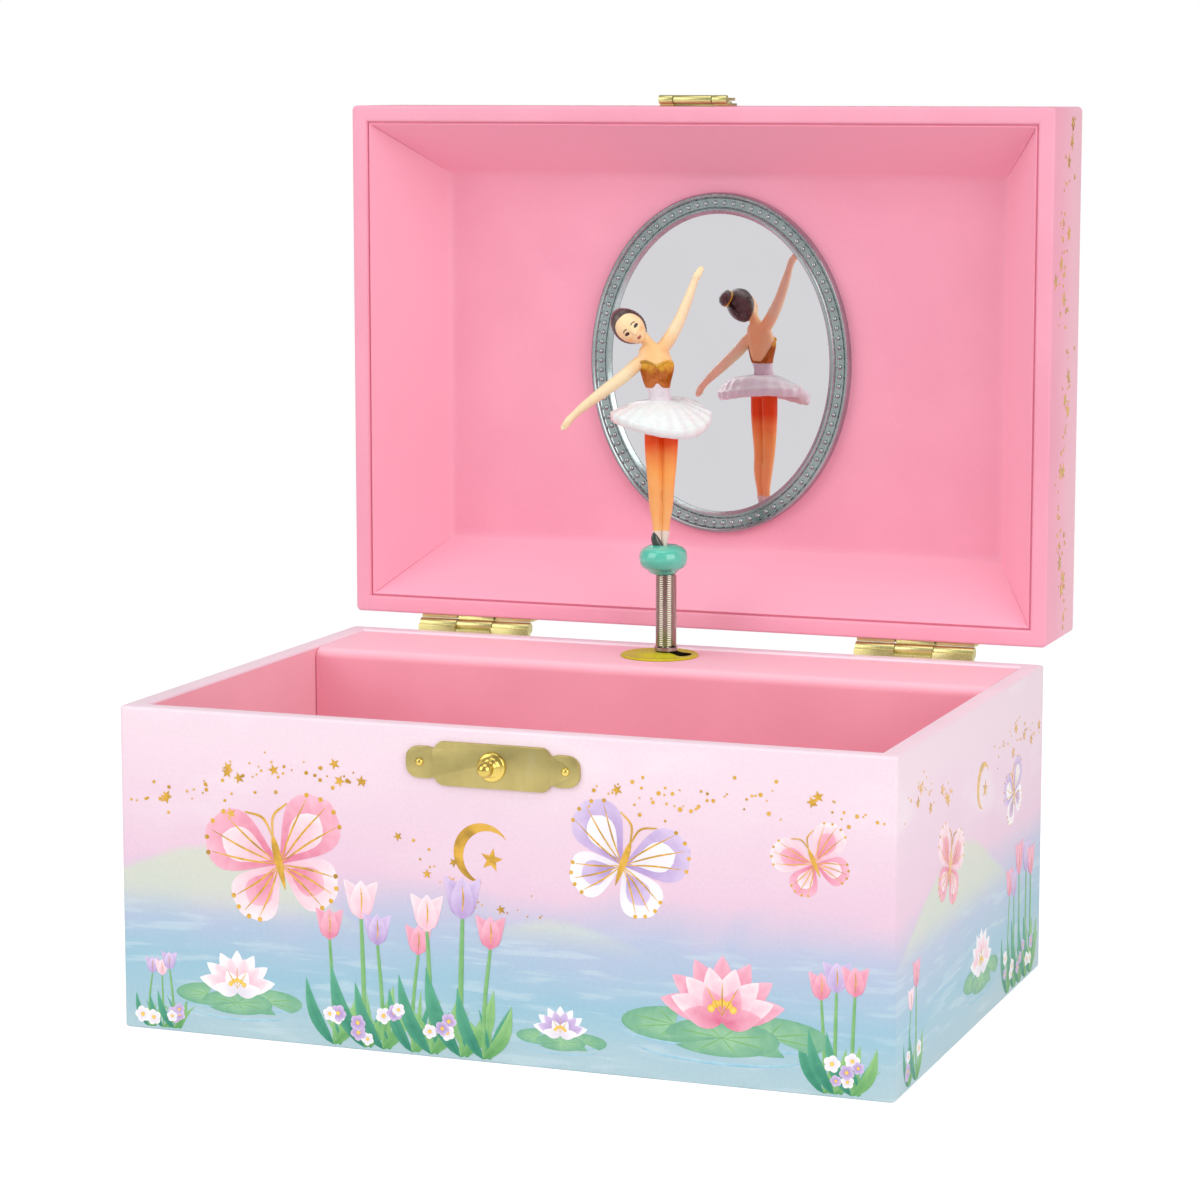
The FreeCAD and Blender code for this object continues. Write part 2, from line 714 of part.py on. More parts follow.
def make_drive():
    """Bedplate, winding arbor, mainspring in its cup, crown gear and key."""
    low = floor_board + bedplate_bottom_gap
    bedplate = block(-bedplate_left, bedplate_right, bedplate_face, inner_half_depth, low, movement_top)
    bedplate = bedplate.cut(across(bedplate_face, inner_half_depth, 0, arbor_height, arbor_radius + running))
    worm_bore = worm_shaft_radius + running
    bedplate = bedplate.cut(across(bedplate_face, inner_half_depth, worm_x, worm_z, worm_bore))
    tooth_tip = axis_y + shaft_pinion_radius - crown_addendum
    tooth_root = axis_y + shaft_pinion_radius + crown_dedendum
    disc_back = bedplate_face - crown_stand_off
    disc_front = disc_back - crown_disc
    ring_inner = crown_radius - crown_ring / 2
    ring_outer = crown_radius + crown_ring / 2
    wall = across(tooth_root, disc_back, 0, arbor_height, ring_outer)
    wall = wall.cut(across(tooth_root, disc_front, 0, arbor_height, ring_inner))
    tooth = block(
        -crown_tooth_width / 2, crown_tooth_width / 2, tooth_tip, tooth_root + crown_disc / 2,
        arbor_height + ring_inner + free_gap, arbor_height + ring_outer - free_gap,
    )
    centre = Vector(0, axis_y, arbor_height)
    teeth = [tooth.rotated(centre, BACK, 360.0 * i / crown_teeth) for i in range(crown_teeth)]
    main_gear = fuse(wall, *teeth)
    main_gear = main_gear.cut(across(tooth_tip, disc_back, 0, arbor_height, arbor_radius + running))
    cup_back = disc_front - free_gap
    cup_front = cup_back - cup_length
    cup = across(cup_front, cup_back, 0, arbor_height, cup_radius)
    straps = []
    strap_back = tooth_tip - 2 * free_gap
    strap_half = cup_strap_width / 2
    for side in (-1, 1):
        foot = side * strap_foot_x()
        leg_inner = side * (crown_radius + crown_ring / 2 + free_gap)
        leg_outer = leg_inner + side * strap_sheet
        foot_end = foot + side * (screw_head_radius + free_gap)
        z0 = arbor_height - strap_half
        z1 = arbor_height + strap_half
        x0, x1 = sorted((side * (cup_radius - cup_wall), leg_outer))
        straps.append(block(x0, x1, strap_back - strap_sheet, strap_back, z0, z1))
        x0, x1 = sorted((leg_inner, leg_outer))
        straps.append(block(x0, x1, strap_back - strap_sheet, bedplate_face, z0, z1))
        x0, x1 = sorted((leg_inner, foot_end))
        straps.append(block(x0, x1, bedplate_face - strap_sheet, bedplate_face, z0, z1))
    cup = fuse(cup, *straps)
    cup = cup.cut(across(cup_front + cup_wall, cup_back, 0, arbor_height, cup_radius - cup_wall))
    cup = cup.cut(across(cup_front, cup_back, 0, arbor_height, arbor_radius + running))
    key_low = half_depth + key_stand_off
    key_end = key_low + key_hub_length
    arbor_front = cup_front - hole_room
    arbor = across(arbor_front, key_end - hole_room, 0, arbor_height, arbor_radius)
    wing_low = key_end - key_sheet
    wing_half = key_sheet / 2
    wing_high = key_end + 2 * key_wing_radius
    web_high = key_end + key_wing_radius
    wings = [block(-key_wing_centre, key_wing_centre, wing_low, web_high, -wing_half, wing_half)]
    eyes = []
    for side in (-1, 1):
        middle = Vector(side * key_wing_centre, wing_high - key_wing_radius, -wing_half)
        wings.append(ring(middle, UP, key_wing_radius, key_wing_eye, key_sheet))
        eyes.append(rod(middle, UP, key_wing_eye, key_sheet))
    wing = fuse(*wings).cut(Part.makeCompound(eyes)).translated(Vector(0, 0, arbor_height))
    key = fuse(across(key_low, key_end, 0, arbor_height, key_hub_radius), wing)
    key = key.cut(across(key_low, key_end - hole_room + seat, 0, arbor_height, arbor_radius + seat))
    return {
        "bedplate": drilled(bedplate),
        "main_gear": main_gear,
        "spring_cup": drilled(cup),
        "mainspring": make_mainspring(cup_front + cup_wall + free_gap, cup_back - free_gap),
        "winding_arbor": arbor,
        "winding_key": key,
    }


def make_mainspring(front, back):
    """A flat strip wound in half turns, each half a step wider than the last."""
    step = mainspring_step
    centre = Vector(0, front, arbor_height)
    inner = []
    outer = []
    for i in range(mainspring_half_turns):
        shift = 0 if i % 2 == 0 else step
        for edges, extra in ((inner, 0), (outer, mainspring_strip)):
            radius = arbor_radius + 2 * running + i * step + extra
            side = 1 if i % 2 == 0 else -1
            start = centre + RIGHT * (shift + side * radius)
            end = centre + RIGHT * (shift - side * radius)
            top = centre + RIGHT * shift + UP * (side * radius)
            edges.append(Part.Arc(start, top, end).toShape())
    ends = [
        Part.makeLine(inner[0].valueAt(inner[0].FirstParameter), outer[0].valueAt(outer[0].FirstParameter)),
        Part.makeLine(inner[-1].valueAt(inner[-1].LastParameter), outer[-1].valueAt(outer[-1].LastParameter)),
    ]
    outline = Part.Wire(Part.__sortEdges__(inner + outer + ends))
    return Part.Face(outline).extrude(BACK * (back - front))


def make_cylinder():
    """The drive shaft with its pinion, the pinned drum and its gear, and the two bearings."""
    axis = Vector(0, axis_y, 0)
    pinion = gear(
        shaft_pinion_teeth, crown_module, pinion_width, pinion_low, axis,
        math.pi / 2 + math.pi / shaft_pinion_teeth, crown_pinion_tooth, crown_addendum, crown_dedendum,
    )
    shaft = fuse(
        upright(0, axis_y, shaft_radius, pinion_low, coil_low),
        pinion,
        upright(0, axis_y, collar_radius, collar_low, coil_low),
        upright(0, axis_y, spigot_radius, coil_low, coil_low + spigot_length),
    )
    bore = upright(0, axis_y, shaft_radius + seat, drum_low, drive_gear_low + drive_gear_width)
    drum = upright(0, axis_y, drum_radius, drum_low, drum_low + drum_length)
    pins = []
    for note in range(note_count):
        for k in range(pins_per_note):
            angle = 2 * math.pi * (k / pins_per_note + note * pin_stagger)
            way = Vector(math.cos(angle), math.sin(angle), 0)
            z = drum_low + drum_end + (note + 0.5) * note_pitch
            root = axis + UP * z + way * (drum_radius - drum_pin_height)
            pins.append(rod(root, way, drum_pin_radius, 2 * drum_pin_height))
    drive_gear = gear(
        drive_teeth, governor_module, drive_gear_width, drive_gear_low, axis, math.pi,
        drive_tooth, drive_addendum, drive_dedendum,
    )
    bearings = {}
    lower_foot = lower_bearing_z - bearing_foot
    for name, low, foot_low in (
        ("lower_bearing", lower_bearing_z, lower_foot), ("upper_bearing", upper_bearing_z, upper_bearing_z)
    ):
        arm = block(
            -bearing_half_width, bearing_half_width, axis_y - bearing_half_width, bedplate_face,
            low, low + bearing_plate,
        )
        foot = block(
            -bearing_half_width, bearing_half_width, bedplate_face - bearing_plate, bedplate_face,
            foot_low, foot_low + bearing_plate + bearing_foot,
        )
        hole = upright(0, axis_y, shaft_radius + running, low, low + bearing_plate)
        bearings[name] = drilled(fuse(arm, foot).cut(hole))
    return {
        "drive_shaft": shaft,
        "music_cylinder": fuse(drum, *pins).cut(bore),
        "cylinder_gear": drive_gear.cut(bore),
        **bearings,
    }


def make_comb():
    """The steel comb and the bridge that carries it."""
    tip = drum_radius + drum_pin_height + comb_reach
    root = tip + comb_tooth_length
    end = root + comb_body_length
    face = axis_y - comb_thickness / 2
    low = drum_low + drum_end
    high = low + note_count * note_pitch
    outline = [Vector(end, face, low)]
    for note in range(note_count):
        z0 = low + note * note_pitch + comb_slit / 2
        z1 = low + (note + 1) * note_pitch - comb_slit / 2
        for x, z in ((root, z0), (tip, z0), (tip, z1), (root, z1)):
            outline.append(Vector(x, face, z))
    outline.append(Vector(end, face, high))
    outline[1].z = low
    outline[2].z = low
    comb = prism(outline, BACK * comb_thickness)
    bridge = block(root + hole_room, end, face + comb_thickness, bedplate_face, low, high)
    return {"music_comb": drilled(comb), "comb_bridge": drilled(bridge)}


def make_governor():
    """The frame, geared arbor, worm wheel, worm and fan that keep the tune slow."""
    side_x = frame_side_x()
    foot_x = frame_foot_x()
    fan_front = axis_y - wheel_radius - wheel_module - 2 * free_gap - fan_length
    tab_back = fan_front - free_gap
    tab_front = tab_back - frame_sheet
    low = drive_gear_low - free_gap - 2 * frame_sheet
    high = wheel_low + wheel_width + worm_radius + frame_sheet
    arm_half = governor_arbor_radius + frame_sheet
    arm_end = governor_x + arm_half
    inner_x = side_x + frame_sheet
    foot_end = foot_x - screw_head_radius - free_gap
    frame = fuse(
        block(side_x, inner_x, tab_front, bedplate_face, low, high),
        block(side_x, worm_x + arm_half, tab_front, tab_back, worm_z - arm_half, worm_z + arm_half),
        block(side_x, arm_end, axis_y - arm_half, axis_y + arm_half, low, low + frame_sheet),
        block(side_x, arm_end, axis_y - arm_half, axis_y + arm_half, high - frame_sheet, high),
        block(foot_end, inner_x, bedplate_face - strap_sheet, bedplate_face, low, high),
    )
    frame = frame.cut(upright(governor_x, axis_y, governor_arbor_radius + running, low, high))
    frame = frame.cut(across(tab_front, tab_back, worm_x, worm_z, worm_shaft_radius + running))
    centre = Vector(governor_x, axis_y, 0)
    pinion = gear(
        governor_teeth, governor_module, drive_gear_width, drive_gear_low, centre,
        math.pi / governor_teeth, drive_tooth, drive_addendum, drive_dedendum,
    )
    arbor = fuse(upright(governor_x, axis_y, governor_arbor_radius, low, high), pinion)
    wheel = gear(
        wheel_teeth, wheel_module, wheel_width, wheel_low, centre, math.pi + math.pi / wheel_teeth,
        wheel_tooth, wheel_addendum, wheel_dedendum,
    )
    wheel_bore = governor_arbor_radius + seat
    wheel = wheel.cut(upright(governor_x, axis_y, wheel_bore, wheel_low, wheel_low + wheel_width))
    shaft_front = tab_front - free_gap
    worm_half = worm_turns * worm_pitch / 2
    core_half = worm_half + worm_pitch / 2
    shaft = fuse(
        across(shaft_front, inner_half_depth - seat, worm_x, worm_z, worm_shaft_radius),
        across(axis_y - core_half, axis_y + core_half, worm_x, worm_z, worm_core_radius),
    )
    thread_centre = Vector(worm_x, axis_y - worm_pitch / 4, worm_z)
    thread = tube(
        helix_edges(
            thread_centre, UP, RIGHT, BACK, worm_radius, worm_pitch,
            math.pi / 2 - math.pi * worm_turns, math.pi / 2 + math.pi * worm_turns,
        ),
        worm_wire_radius,
    )
    fan_back = fan_front + fan_length
    blade_half = fan_blade / 2
    blade = block(
        worm_x - fan_radius, worm_x + fan_radius, fan_front, fan_back,
        worm_z - blade_half, worm_z + blade_half,
    )
    fan = fuse(across(fan_front, fan_back, worm_x, worm_z, fan_hub_radius), blade)
    return {
        "governor_frame": drilled(frame),
        "governor_arbor": arbor,
        "worm_wheel": wheel,
        "worm_shaft": Part.makeCompound([shaft, thread]),
        "governor_fan": fan.cut(across(fan_front, fan_back, worm_x, worm_z, worm_shaft_radius + seat)),
    }


def make_spring():
    """The visible coil: straight ends square to their seats, a bend, and even turns between them."""
    radius = coil_outer_radius - coil_wire / 2
    rise = spring_length - 2 * (coil_wire + coil_bend)
    pitch = rise / coil_turns
    start = Vector(0, axis_y, coil_low + coil_wire + coil_bend)
    first, first_way = helix_point(start, RIGHT, BACK, UP, radius, pitch, 0)
    last, last_way = helix_point(start, RIGHT, BACK, UP, radius, pitch, 2 * math.pi * coil_turns)
    foot = Vector(first.x, first.y - coil_bend, coil_low)
    head = Vector(last.x, last.y + coil_bend, stand_low)
    foot_bend = foot + UP * coil_wire
    head_bend = head - UP * coil_wire
    edges = [Part.makeLine(foot, foot_bend)]
    edges += biarc(foot_bend, UP, first, first_way)
    edges += helix_edges(start, RIGHT, BACK, UP, radius, pitch, 0, 2 * math.pi * coil_turns)
    edges += biarc(last, last_way, head_bend, UP)
    edges.append(Part.makeLine(head_bend, head))
    print("least gap between turns of the spring: %.3f mm" % least_gap(edges))
    return {"dancer_spring": tube(edges, coil_wire / 2)}


def least_gap(edges):
    """Smallest distance of the wire from itself, measured on points along it."""
    points = []
    travel = []
    run = 0.0
    spacing = coil_wire / 4
    for edge in edges:
        count = max(2, round(edge.Length / spacing))
        for point in edge.discretize(count)[:-1]:
            points.append(point)
            travel.append(run)
            run += edge.Length / (count - 1)
    apart = math.pi * (coil_outer_radius - coil_wire / 2)
    least = min(
        points[i].distanceToPoint(points[j])
        for i in range(len(points))
        for j in range(i)
        if travel[i] - travel[j] > apart
    )
    return least - coil_wire


def spun(profile):
    """A solid turned about the dancer's axis from (radius, height) points that start and end on the axis."""
    points = [Vector(radius, axis_y, height) for radius, height in profile]
    face = Part.Face(Part.makePolygon(points + points[:1]))
    return face.revolve(Vector(0, axis_y, 0), UP, 360)


def make_stand():
    """The rounded stand under the dancer's toes and the peg through it."""
    middle = stand_low + stand_height / 2
    foot_radius = coil_outer_radius + free_gap
    low_edge = Part.makeLine(Vector(0, axis_y, stand_low), Vector(foot_radius, axis_y, stand_low))
    round_edge = Part.Arc(
        Vector(foot_radius, axis_y, stand_low), Vector(stand_radius, axis_y, middle),
        Vector(foot_radius, axis_y, stand_top),
    ).toShape()
    dip_edge = Part.makeLine(Vector(foot_radius, axis_y, stand_top), Vector(foot_radius, axis_y, toe_low))
    top_edge = Part.makeLine(Vector(foot_radius, axis_y, toe_low), Vector(0, axis_y, toe_low))
    core_edge = Part.makeLine(Vector(0, axis_y, toe_low), Vector(0, axis_y, stand_low))
    face = Part.Face(Part.Wire([low_edge, round_edge, dip_edge, top_edge, core_edge]))
    stand = face.revolve(Vector(0, axis_y, 0), UP, 360)
    peg = fuse(
        upright(0, axis_y, spigot_radius, stand_low - spigot_length, stand_low),
        upright(0, axis_y, peg_radius, stand_low, toe_low + peg_rise - seat),
    )
    return {
        "dancer_stand": stand.cut(upright(0, axis_y, peg_radius + seat, stand_low, toe_low)),
        "stand_peg": peg,
    }


def ball(place, radius):
    """A ball at a place on the figure, given as (side, height above the toes)."""
    return Part.makeSphere(radius, Vector(place[0], axis_y, toe_low + place[1]))


def limb(start, end, start_radius, end_radius):
    """A tapering limb with a rounded end, between two places on the figure."""
    foot = Vector(start[0], axis_y, toe_low + start[1])
    way = Vector(end[0] - start[0], 0, end[1] - start[1])
    return [Part.makeCone(start_radius, end_radius, way.Length, foot, way), ball(end, end_radius)]


def make_dancer():
    """The moulded figure, one arm raised and one held out, and the skirt round the waist."""
    hips = toe_low + hip_height
    waist = toe_low + waist_height
    figure = spun([
        (0, toe_low), (toe_radius, toe_low), (ankle_radius, toe_low + ankle_height),
        (knee_radius, toe_low + knee_height), (thigh_radius, toe_low + leg_height),
        (thigh_radius, hips - hip_round), (waist_radius, hips + hip_round), (waist_radius, waist), (0, waist),
    ])
    middle = (0, waist_height)
    pieces = [ball(middle, waist_radius), ball(bun_place, bun_radius)]
    pieces += limb(middle, chest_place, waist_radius, chest_radius)
    pieces += limb(chest_place, neck_place, chest_radius, neck_radius)
    pieces += limb(neck_place, head_place, neck_radius, head_radius)
    for shoulder, elbow, hand in (held_out_arm, raised_arm):
        pieces.append(ball(shoulder, shoulder_radius))
        pieces += limb(shoulder, elbow, shoulder_radius, elbow_radius)
        pieces += limb(elbow, hand, elbow_radius, hand_radius)
    figure = figure.multiFuse(pieces)
    figure = figure.cut(upright(0, axis_y, peg_radius + seat, toe_low, toe_low + peg_rise))
    inner = waist_radius + running
    skirt_top = waist - tutu_drop
    skirt_face = Part.Face(Part.makePolygon([
        Vector(inner, axis_y, skirt_top), Vector(tutu_radius, axis_y, skirt_top - tutu_droop),
        Vector(tutu_radius, axis_y, skirt_top - tutu_droop - tutu_thickness),
        Vector(inner, axis_y, skirt_top - tutu_thickness), Vector(inner, axis_y, skirt_top),
    ]))
    skirt = skirt_face.revolve(Vector(0, axis_y, 0), UP, 360)
    centre = Vector(0, axis_y, 0)
    return {
        "dancer_figure": figure.rotated(centre, UP, figure_turn),
        "dancer_tutu": skirt,
    }


def make_all():
    """Every piece by name."""
    pieces = {}
    makers = (
        make_base, make_latch, make_hinges, make_lid, make_liner, make_hasp, make_drive, make_cylinder,
        make_comb, make_governor, make_spring, make_stand, make_dancer,
    )
    for maker in makers:
        pieces.update(maker())
    pieces["movement_screws"] = Part.makeCompound([screw(place, length) for place, length in screw_places()])
    return pieces


os.makedirs("parts", exist_ok=True)
for node, shape in make_all().items():
    if not shape.isValid():
        raise ValueError(f"{node} isn't a valid solid")
    shape.exportStep(f"parts/{node}.step")
    print(f"{node}: {len(shape.Solids)} solids, {shape.Volume:.2f} mm3")
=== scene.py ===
import functools
import math
import random

import bmesh
import bpy
import numpy as np
from bpy.props import FloatProperty, FloatVectorProperty, IntProperty, PointerProperty
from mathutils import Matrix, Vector
from mathutils.bvhtree import BVHTree


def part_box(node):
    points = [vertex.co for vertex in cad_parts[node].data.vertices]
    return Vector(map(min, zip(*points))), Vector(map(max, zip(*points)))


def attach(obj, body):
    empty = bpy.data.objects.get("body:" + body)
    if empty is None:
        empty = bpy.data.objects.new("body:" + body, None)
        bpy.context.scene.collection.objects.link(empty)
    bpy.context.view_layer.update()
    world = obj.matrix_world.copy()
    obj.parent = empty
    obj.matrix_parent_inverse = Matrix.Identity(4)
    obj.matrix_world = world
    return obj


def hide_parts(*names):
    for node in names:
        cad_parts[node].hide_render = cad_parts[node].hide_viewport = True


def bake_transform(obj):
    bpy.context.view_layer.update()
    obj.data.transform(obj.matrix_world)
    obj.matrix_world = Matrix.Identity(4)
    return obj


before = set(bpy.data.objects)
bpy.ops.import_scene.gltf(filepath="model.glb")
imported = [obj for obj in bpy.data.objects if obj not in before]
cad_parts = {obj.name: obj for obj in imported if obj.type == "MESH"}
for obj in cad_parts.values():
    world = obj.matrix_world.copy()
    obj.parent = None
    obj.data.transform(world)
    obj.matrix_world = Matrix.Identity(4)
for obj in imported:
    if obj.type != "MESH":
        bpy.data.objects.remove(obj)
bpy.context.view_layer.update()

bl_info = {
    "name": "Musical Jewellery Box",
    "version": (1, 0, 0),
    "blender": (4, 5, 0),
    "location": "3D View > Sidebar > Music Box",
    "description": "Builds the looks of a wind-up musical jewellery box with a dancer on a spring",
    "category": "Object",
}

MM = 0.001
FULL_TURN = 2 * math.pi


def corners(*nodes):
    """Lowest and highest corner of the box round these solids, in millimetres."""
    boxes = [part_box(node) for node in nodes]
    low = [min(box[0][i] for box in boxes) / MM for i in range(3)]
    high = [max(box[1][i] for box in boxes) / MM for i in range(3)]
    return Vector(low), Vector(high)


BASE_WALLS = ("base_front", "base_back", "base_left", "base_right")
LID_BOARDS = ("lid_front", "lid_back", "lid_left", "lid_right", "lid_top")
LINER_CARDS = ("liner_front", "liner_back", "liner_left", "liner_right", "liner_ceiling")
BASE_LOW, BASE_HIGH = corners(*BASE_WALLS)
ROOM_LOW, ROOM_HIGH = corners("base_floor")
LID_LOW, LID_HIGH = corners(*LID_BOARDS)
LINER_LOW, LINER_HIGH = corners(*LINER_CARDS)
CEILING_LOW, CEILING_HIGH = corners("liner_ceiling")
SPRING_LOW, SPRING_HIGH = corners("dancer_spring")
AXIS = (SPRING_LOW + SPRING_HIGH) / 2
TOE_LEVEL = corners("dancer_figure")[0].z
UP, FORWARD, BACKWARD = (0, 0, 1), (0, -1, 0), (0, 1, 0)
WHITE = (1, 1, 1, 1)

# Points closer than this, in metres, are one point.
WELD = 1e-7

# No corner has a smaller radius than this, in millimetres.
LEAST_ROUND = 0.1

# The figure is turned a little to the right.
# It, its bead and the rosette sit to the left of the shaft, in millimetres.
FIGURE_TURN = math.radians(20.4)
FIGURE_SHIFT = -1.1
BEAD_SHIFT = -0.6
ROSETTE_SHIFT = -1.4

# Radii of the holes in the ledge and the rosette, and how far the side hole lies from the shaft.
SHAFT_HOLE = 1.5
SPRING_SEAT = 1.9
SIDE_HOLE = 2.7
SIDE_HOLE_AWAY = 2.6

# Hills in the print: middle and half width in metres along the wrap, and rise as a share of the wall.
HILLS = ((-0.058, 0.05, 0.3), (0.012, 0.036, 0.16), (0.118, 0.062, 0.34), (-0.15, 0.06, 0.26))


def even_turns(count):
    """Angles in even steps round a circle."""
    return [FULL_TURN * i / count for i in range(count)]


def shade(red, green, blue):
    """A colour written as it looks on a screen, from 0 to 255, in the linear values that shaders take."""
    parts = [c / 255 for c in (red, green, blue)]
    return tuple(c / 12.92 if c <= 0.04045 else ((c + 0.055) / 1.055) ** 2.4 for c in parts)


def colour(name, description, look):
    """A colour that a user may change."""
    return FloatVectorProperty(
        name=name, description=description, default=shade(*look), subtype="COLOR", min=0, max=1
    )


def size(name, description, default):
    """A size in millimetres that a user may change."""
    return FloatProperty(name=name, description=description, default=default, min=0, unit="NONE")


class BoxColours(bpy.types.PropertyGroup):
    """Colours of the papers, metals and paints."""

    sky: colour("Sky", "Top of the printed walls", (245, 221, 232))
    dusk: colour("Dusk", "Printed walls above the water", (238, 205, 224))
    horizon: colour("Horizon", "Where sky and water meet", (190, 200, 225))
    water: colour("Water", "Printed water", (160, 202, 220))
    shore: colour("Shore", "Foot of the printed walls", (186, 212, 220))
    hill: colour("Hill", "Printed hills", (214, 224, 204))
    lining: colour("Lining", "Paper inside the compartment", (248, 165, 184))
    # Ledge is painted light: the paler pink of the ledge's top, where more light falls than on its front.
    ledge: colour("Ledge", "Paper on the dancer's ledge", (251, 196, 210))
    liner: colour("Liner", "Card inside the lid", (251, 169, 193))
    lid: colour("Lid", "Paper round the lid", (247, 166, 189))
    old_brass: colour("Old brass", "Pressed catch plate", (194, 178, 116))
    bright_brass: colour("Bright brass", "Knob and nails", (232, 204, 110))
    hinge_brass: colour("Hinge brass", "Hinges and hasp", (224, 214, 146))
    rosette: colour("Rosette", "Pressed disc on the ledge", (206, 198, 44))
    steel: colour("Steel", "Spring, shafts and screws", (172, 168, 152))
    silver: colour("Silver", "Frame of the mirror", (176, 188, 188))
    mirror: colour("Mirror", "Silvering of the mirror", (239, 238, 242))
    turquoise: colour("Turquoise", "Bead under the dancer", (80, 210, 182))
    peg: colour("Peg", "Peg between the feet", (8, 42, 25))
    face: colour("Face", "Painted face", (250, 219, 172))
    pale_skin: colour("Pale skin", "Arms and shoulders", (241, 221, 181))
    warm_skin: colour("Warm skin", "Shoulders and back", (250, 178, 94))
    # Deep skin is the legs' own orange and, just under the skirt, painted shadow of the skirt.
    deep_skin_and_skirt_shadow: colour("Deep skin", "Legs under the skirt", (240, 82, 6))
    hair: colour("Hair", "Painted hair", (68, 34, 27))
    bodice: colour("Bodice", "Painted bodice", (192, 98, 4))
    sash: colour("Sash", "Waist of the dress", (226, 214, 222))
    skirt: colour("Skirt", "Moulded skirt", (231, 238, 237))
    foil: colour("Foil", "Gold foil in the print", (230, 178, 66))


class BoxSizes(bpy.types.PropertyGroup):
    """Sizes of the details, in millimetres unless said otherwise."""

    corner_round: size("Corner round", "Radius of the wrapped upright corners", 1.0)
    rim_round: size("Rim round", "Radius of the wrapped rims", 0.55)
    ledge_round: size("Ledge round", "Radius of the ledge's front edge", 2.2)
    liner_groove: size("Liner groove", "Gap between the lid's walls and the card inside", 0.34)
    lining_bevel: size("Lining bevel", "Bevel of the partition's ends beside the walls", 0.36)
    edge_soft: size("Soft edge", "Rounding of pressed metal edges", 0.12)
    coil_wire: size("Coil wire", "Diameter of the spring's wire", 0.36)
    coil_pitch: size("Coil pitch", "Rise of the spring in one turn", 0.385)
    frame_beads: IntProperty(name="Frame beads", description="Beads round the mirror", default=94, min=8)
    skirt_folds: IntProperty(name="Skirt folds", description="Folds round the skirt", default=22, min=3)
    head_tilt: FloatProperty(
        name="Head tilt", description="Lean of the head", default=math.radians(46), subtype="ANGLE"
    )
    ink_lift: size("Ink lift", "Thickness of the first layer of ink", 0.02)
    ink_step: size("Ink step", "Rise of each layer of ink over the last", 0.001)


def sizes():
    """The sizes that the user has set."""
    return bpy.context.scene.box_sizes


def hue(name):
    """One of the user's colours, with full opacity."""
    return (*getattr(bpy.context.scene.box_colours, name), 1)


def darker(rgba, share):
    """A colour with only a share of its light."""
    return (*(c * share for c in rgba[:3]), 1)


def paler(rgba, share):
    """A colour taken a share of the way to white."""
    return (*(c + (1 - c) * share for c in rgba[:3]), 1)


def fixed(red, green, blue):
    """A screen colour that is not the user's to change, with full opacity."""
    return (*shade(red, green, blue), 1)


class Finish:
    """A material being built. Each method adds one node and returns its output."""

    def __init__(self, name, **sockets):
        self.material = bpy.data.materials.new(name)
        self.material.use_nodes = True
        self.nodes = self.material.node_tree.nodes
        self.links = self.material.node_tree.links
        self.shader = self.nodes["Principled BSDF"]
        where = self.nodes.new("ShaderNodeTexCoord")
        self.place, self.facing = where.outputs["Object"], where.outputs["Normal"]
        for socket, value in sockets.items():
            self.fill(self.shader.inputs[socket.replace("_", " ")], value)

    def fill(self, socket, value):
        """Links another node's output to a socket, or sets a constant on it."""
        if isinstance(value, bpy.types.NodeSocket):
            self.links.new(value, socket)
        else:
            socket.default_value = value

    def node(self, kind, inputs, **settings):
        """A node of any kind with its inputs filled and its settings made."""
        made = self.nodes.new("ShaderNode" + kind)
        for key, value in settings.items():
            setattr(made, key, value)
        for key, value in inputs.items():
            self.fill(made.inputs[key], value)
        return made

    def noise(self, scale, detail=3.0, stretch=None, twist=0.0):
        """Cloudy pattern with a scale in patches per metre, stretched along the axes if asked."""
        place = self.place
        if stretch:
            place = self.node("Mapping", {"Vector": place, "Scale": stretch}).outputs[0]
        inputs = {"Vector": place, "Scale": scale, "Detail": detail, "Distortion": twist}
        return self.node("TexNoise", inputs).outputs["Fac"]

    def tone(self):
        """The tone that each point of the mesh carries."""
        return self.node("Attribute", {}, attribute_name="tone").outputs["Fac"]

    def split(self, vector):
        """The three parts of a vector."""
        return self.node("SeparateXYZ", {0: vector}).outputs

    def sum(self, operation, first, second=0.0):
        """Arithmetic on two values."""
        return self.node("Math", {0: first, 1: second}, operation=operation).outputs[0]

    def span(self, value, low, high, start=0.0, end=1.0):
        """A value eased from start to end while it goes from low to high."""
        inputs = {"Value": value, "From Min": low, "From Max": high, "To Min": start, "To Max": end}
        return self.node("MapRange", inputs, interpolation_type="SMOOTHSTEP").outputs[0]

    def ramp(self, value, *stops):
        """A run of colours, each with its place from 0 to 1."""
        made = self.node("ValToRGB", {"Fac": value})
        elements = made.color_ramp.elements
        while len(elements) < len(stops):
            elements.new(1.0)
        for element, (place, rgba) in zip(elements, stops):
            element.position, element.color = place, rgba
        return made.outputs["Color"]

    def blend(self, share, first, second, how="MIX"):
        """A share of the second colour laid over the first."""
        made = self.node("Mix", {0: share, 6: first, 7: second}, data_type="RGBA", blend_type=how)
        return made.outputs[2]

    def speckle(self, share, paint, pattern, dark):
        """A paint darkened a little wherever a pattern is low."""
        return self.blend(share, paint, self.ramp(pattern, (0.3, dark), (0.7, WHITE)), "MULTIPLY")

    def base(self):
        """The colour that reaches the shader so far."""
        return self.shader.inputs["Base Color"].links[0].from_socket

    def colour(self, value):
        """Sets the shader's colour."""
        self.fill(self.shader.inputs["Base Color"], value)

    def rough(self, value):
        """Sets the shader's roughness."""
        self.fill(self.shader.inputs["Roughness"], value)

    def bump(self, height, depth, strength=1.0, under=None):
        """A relief of the given depth in millimetres, on top of another if one is given."""
        inputs = {"Height": height, "Distance": depth * MM, "Strength": strength}
        if under:
            inputs["Normal"] = under
        made = self.node("Bump", inputs).outputs["Normal"]
        self.fill(self.shader.inputs["Normal"], made)
        return made


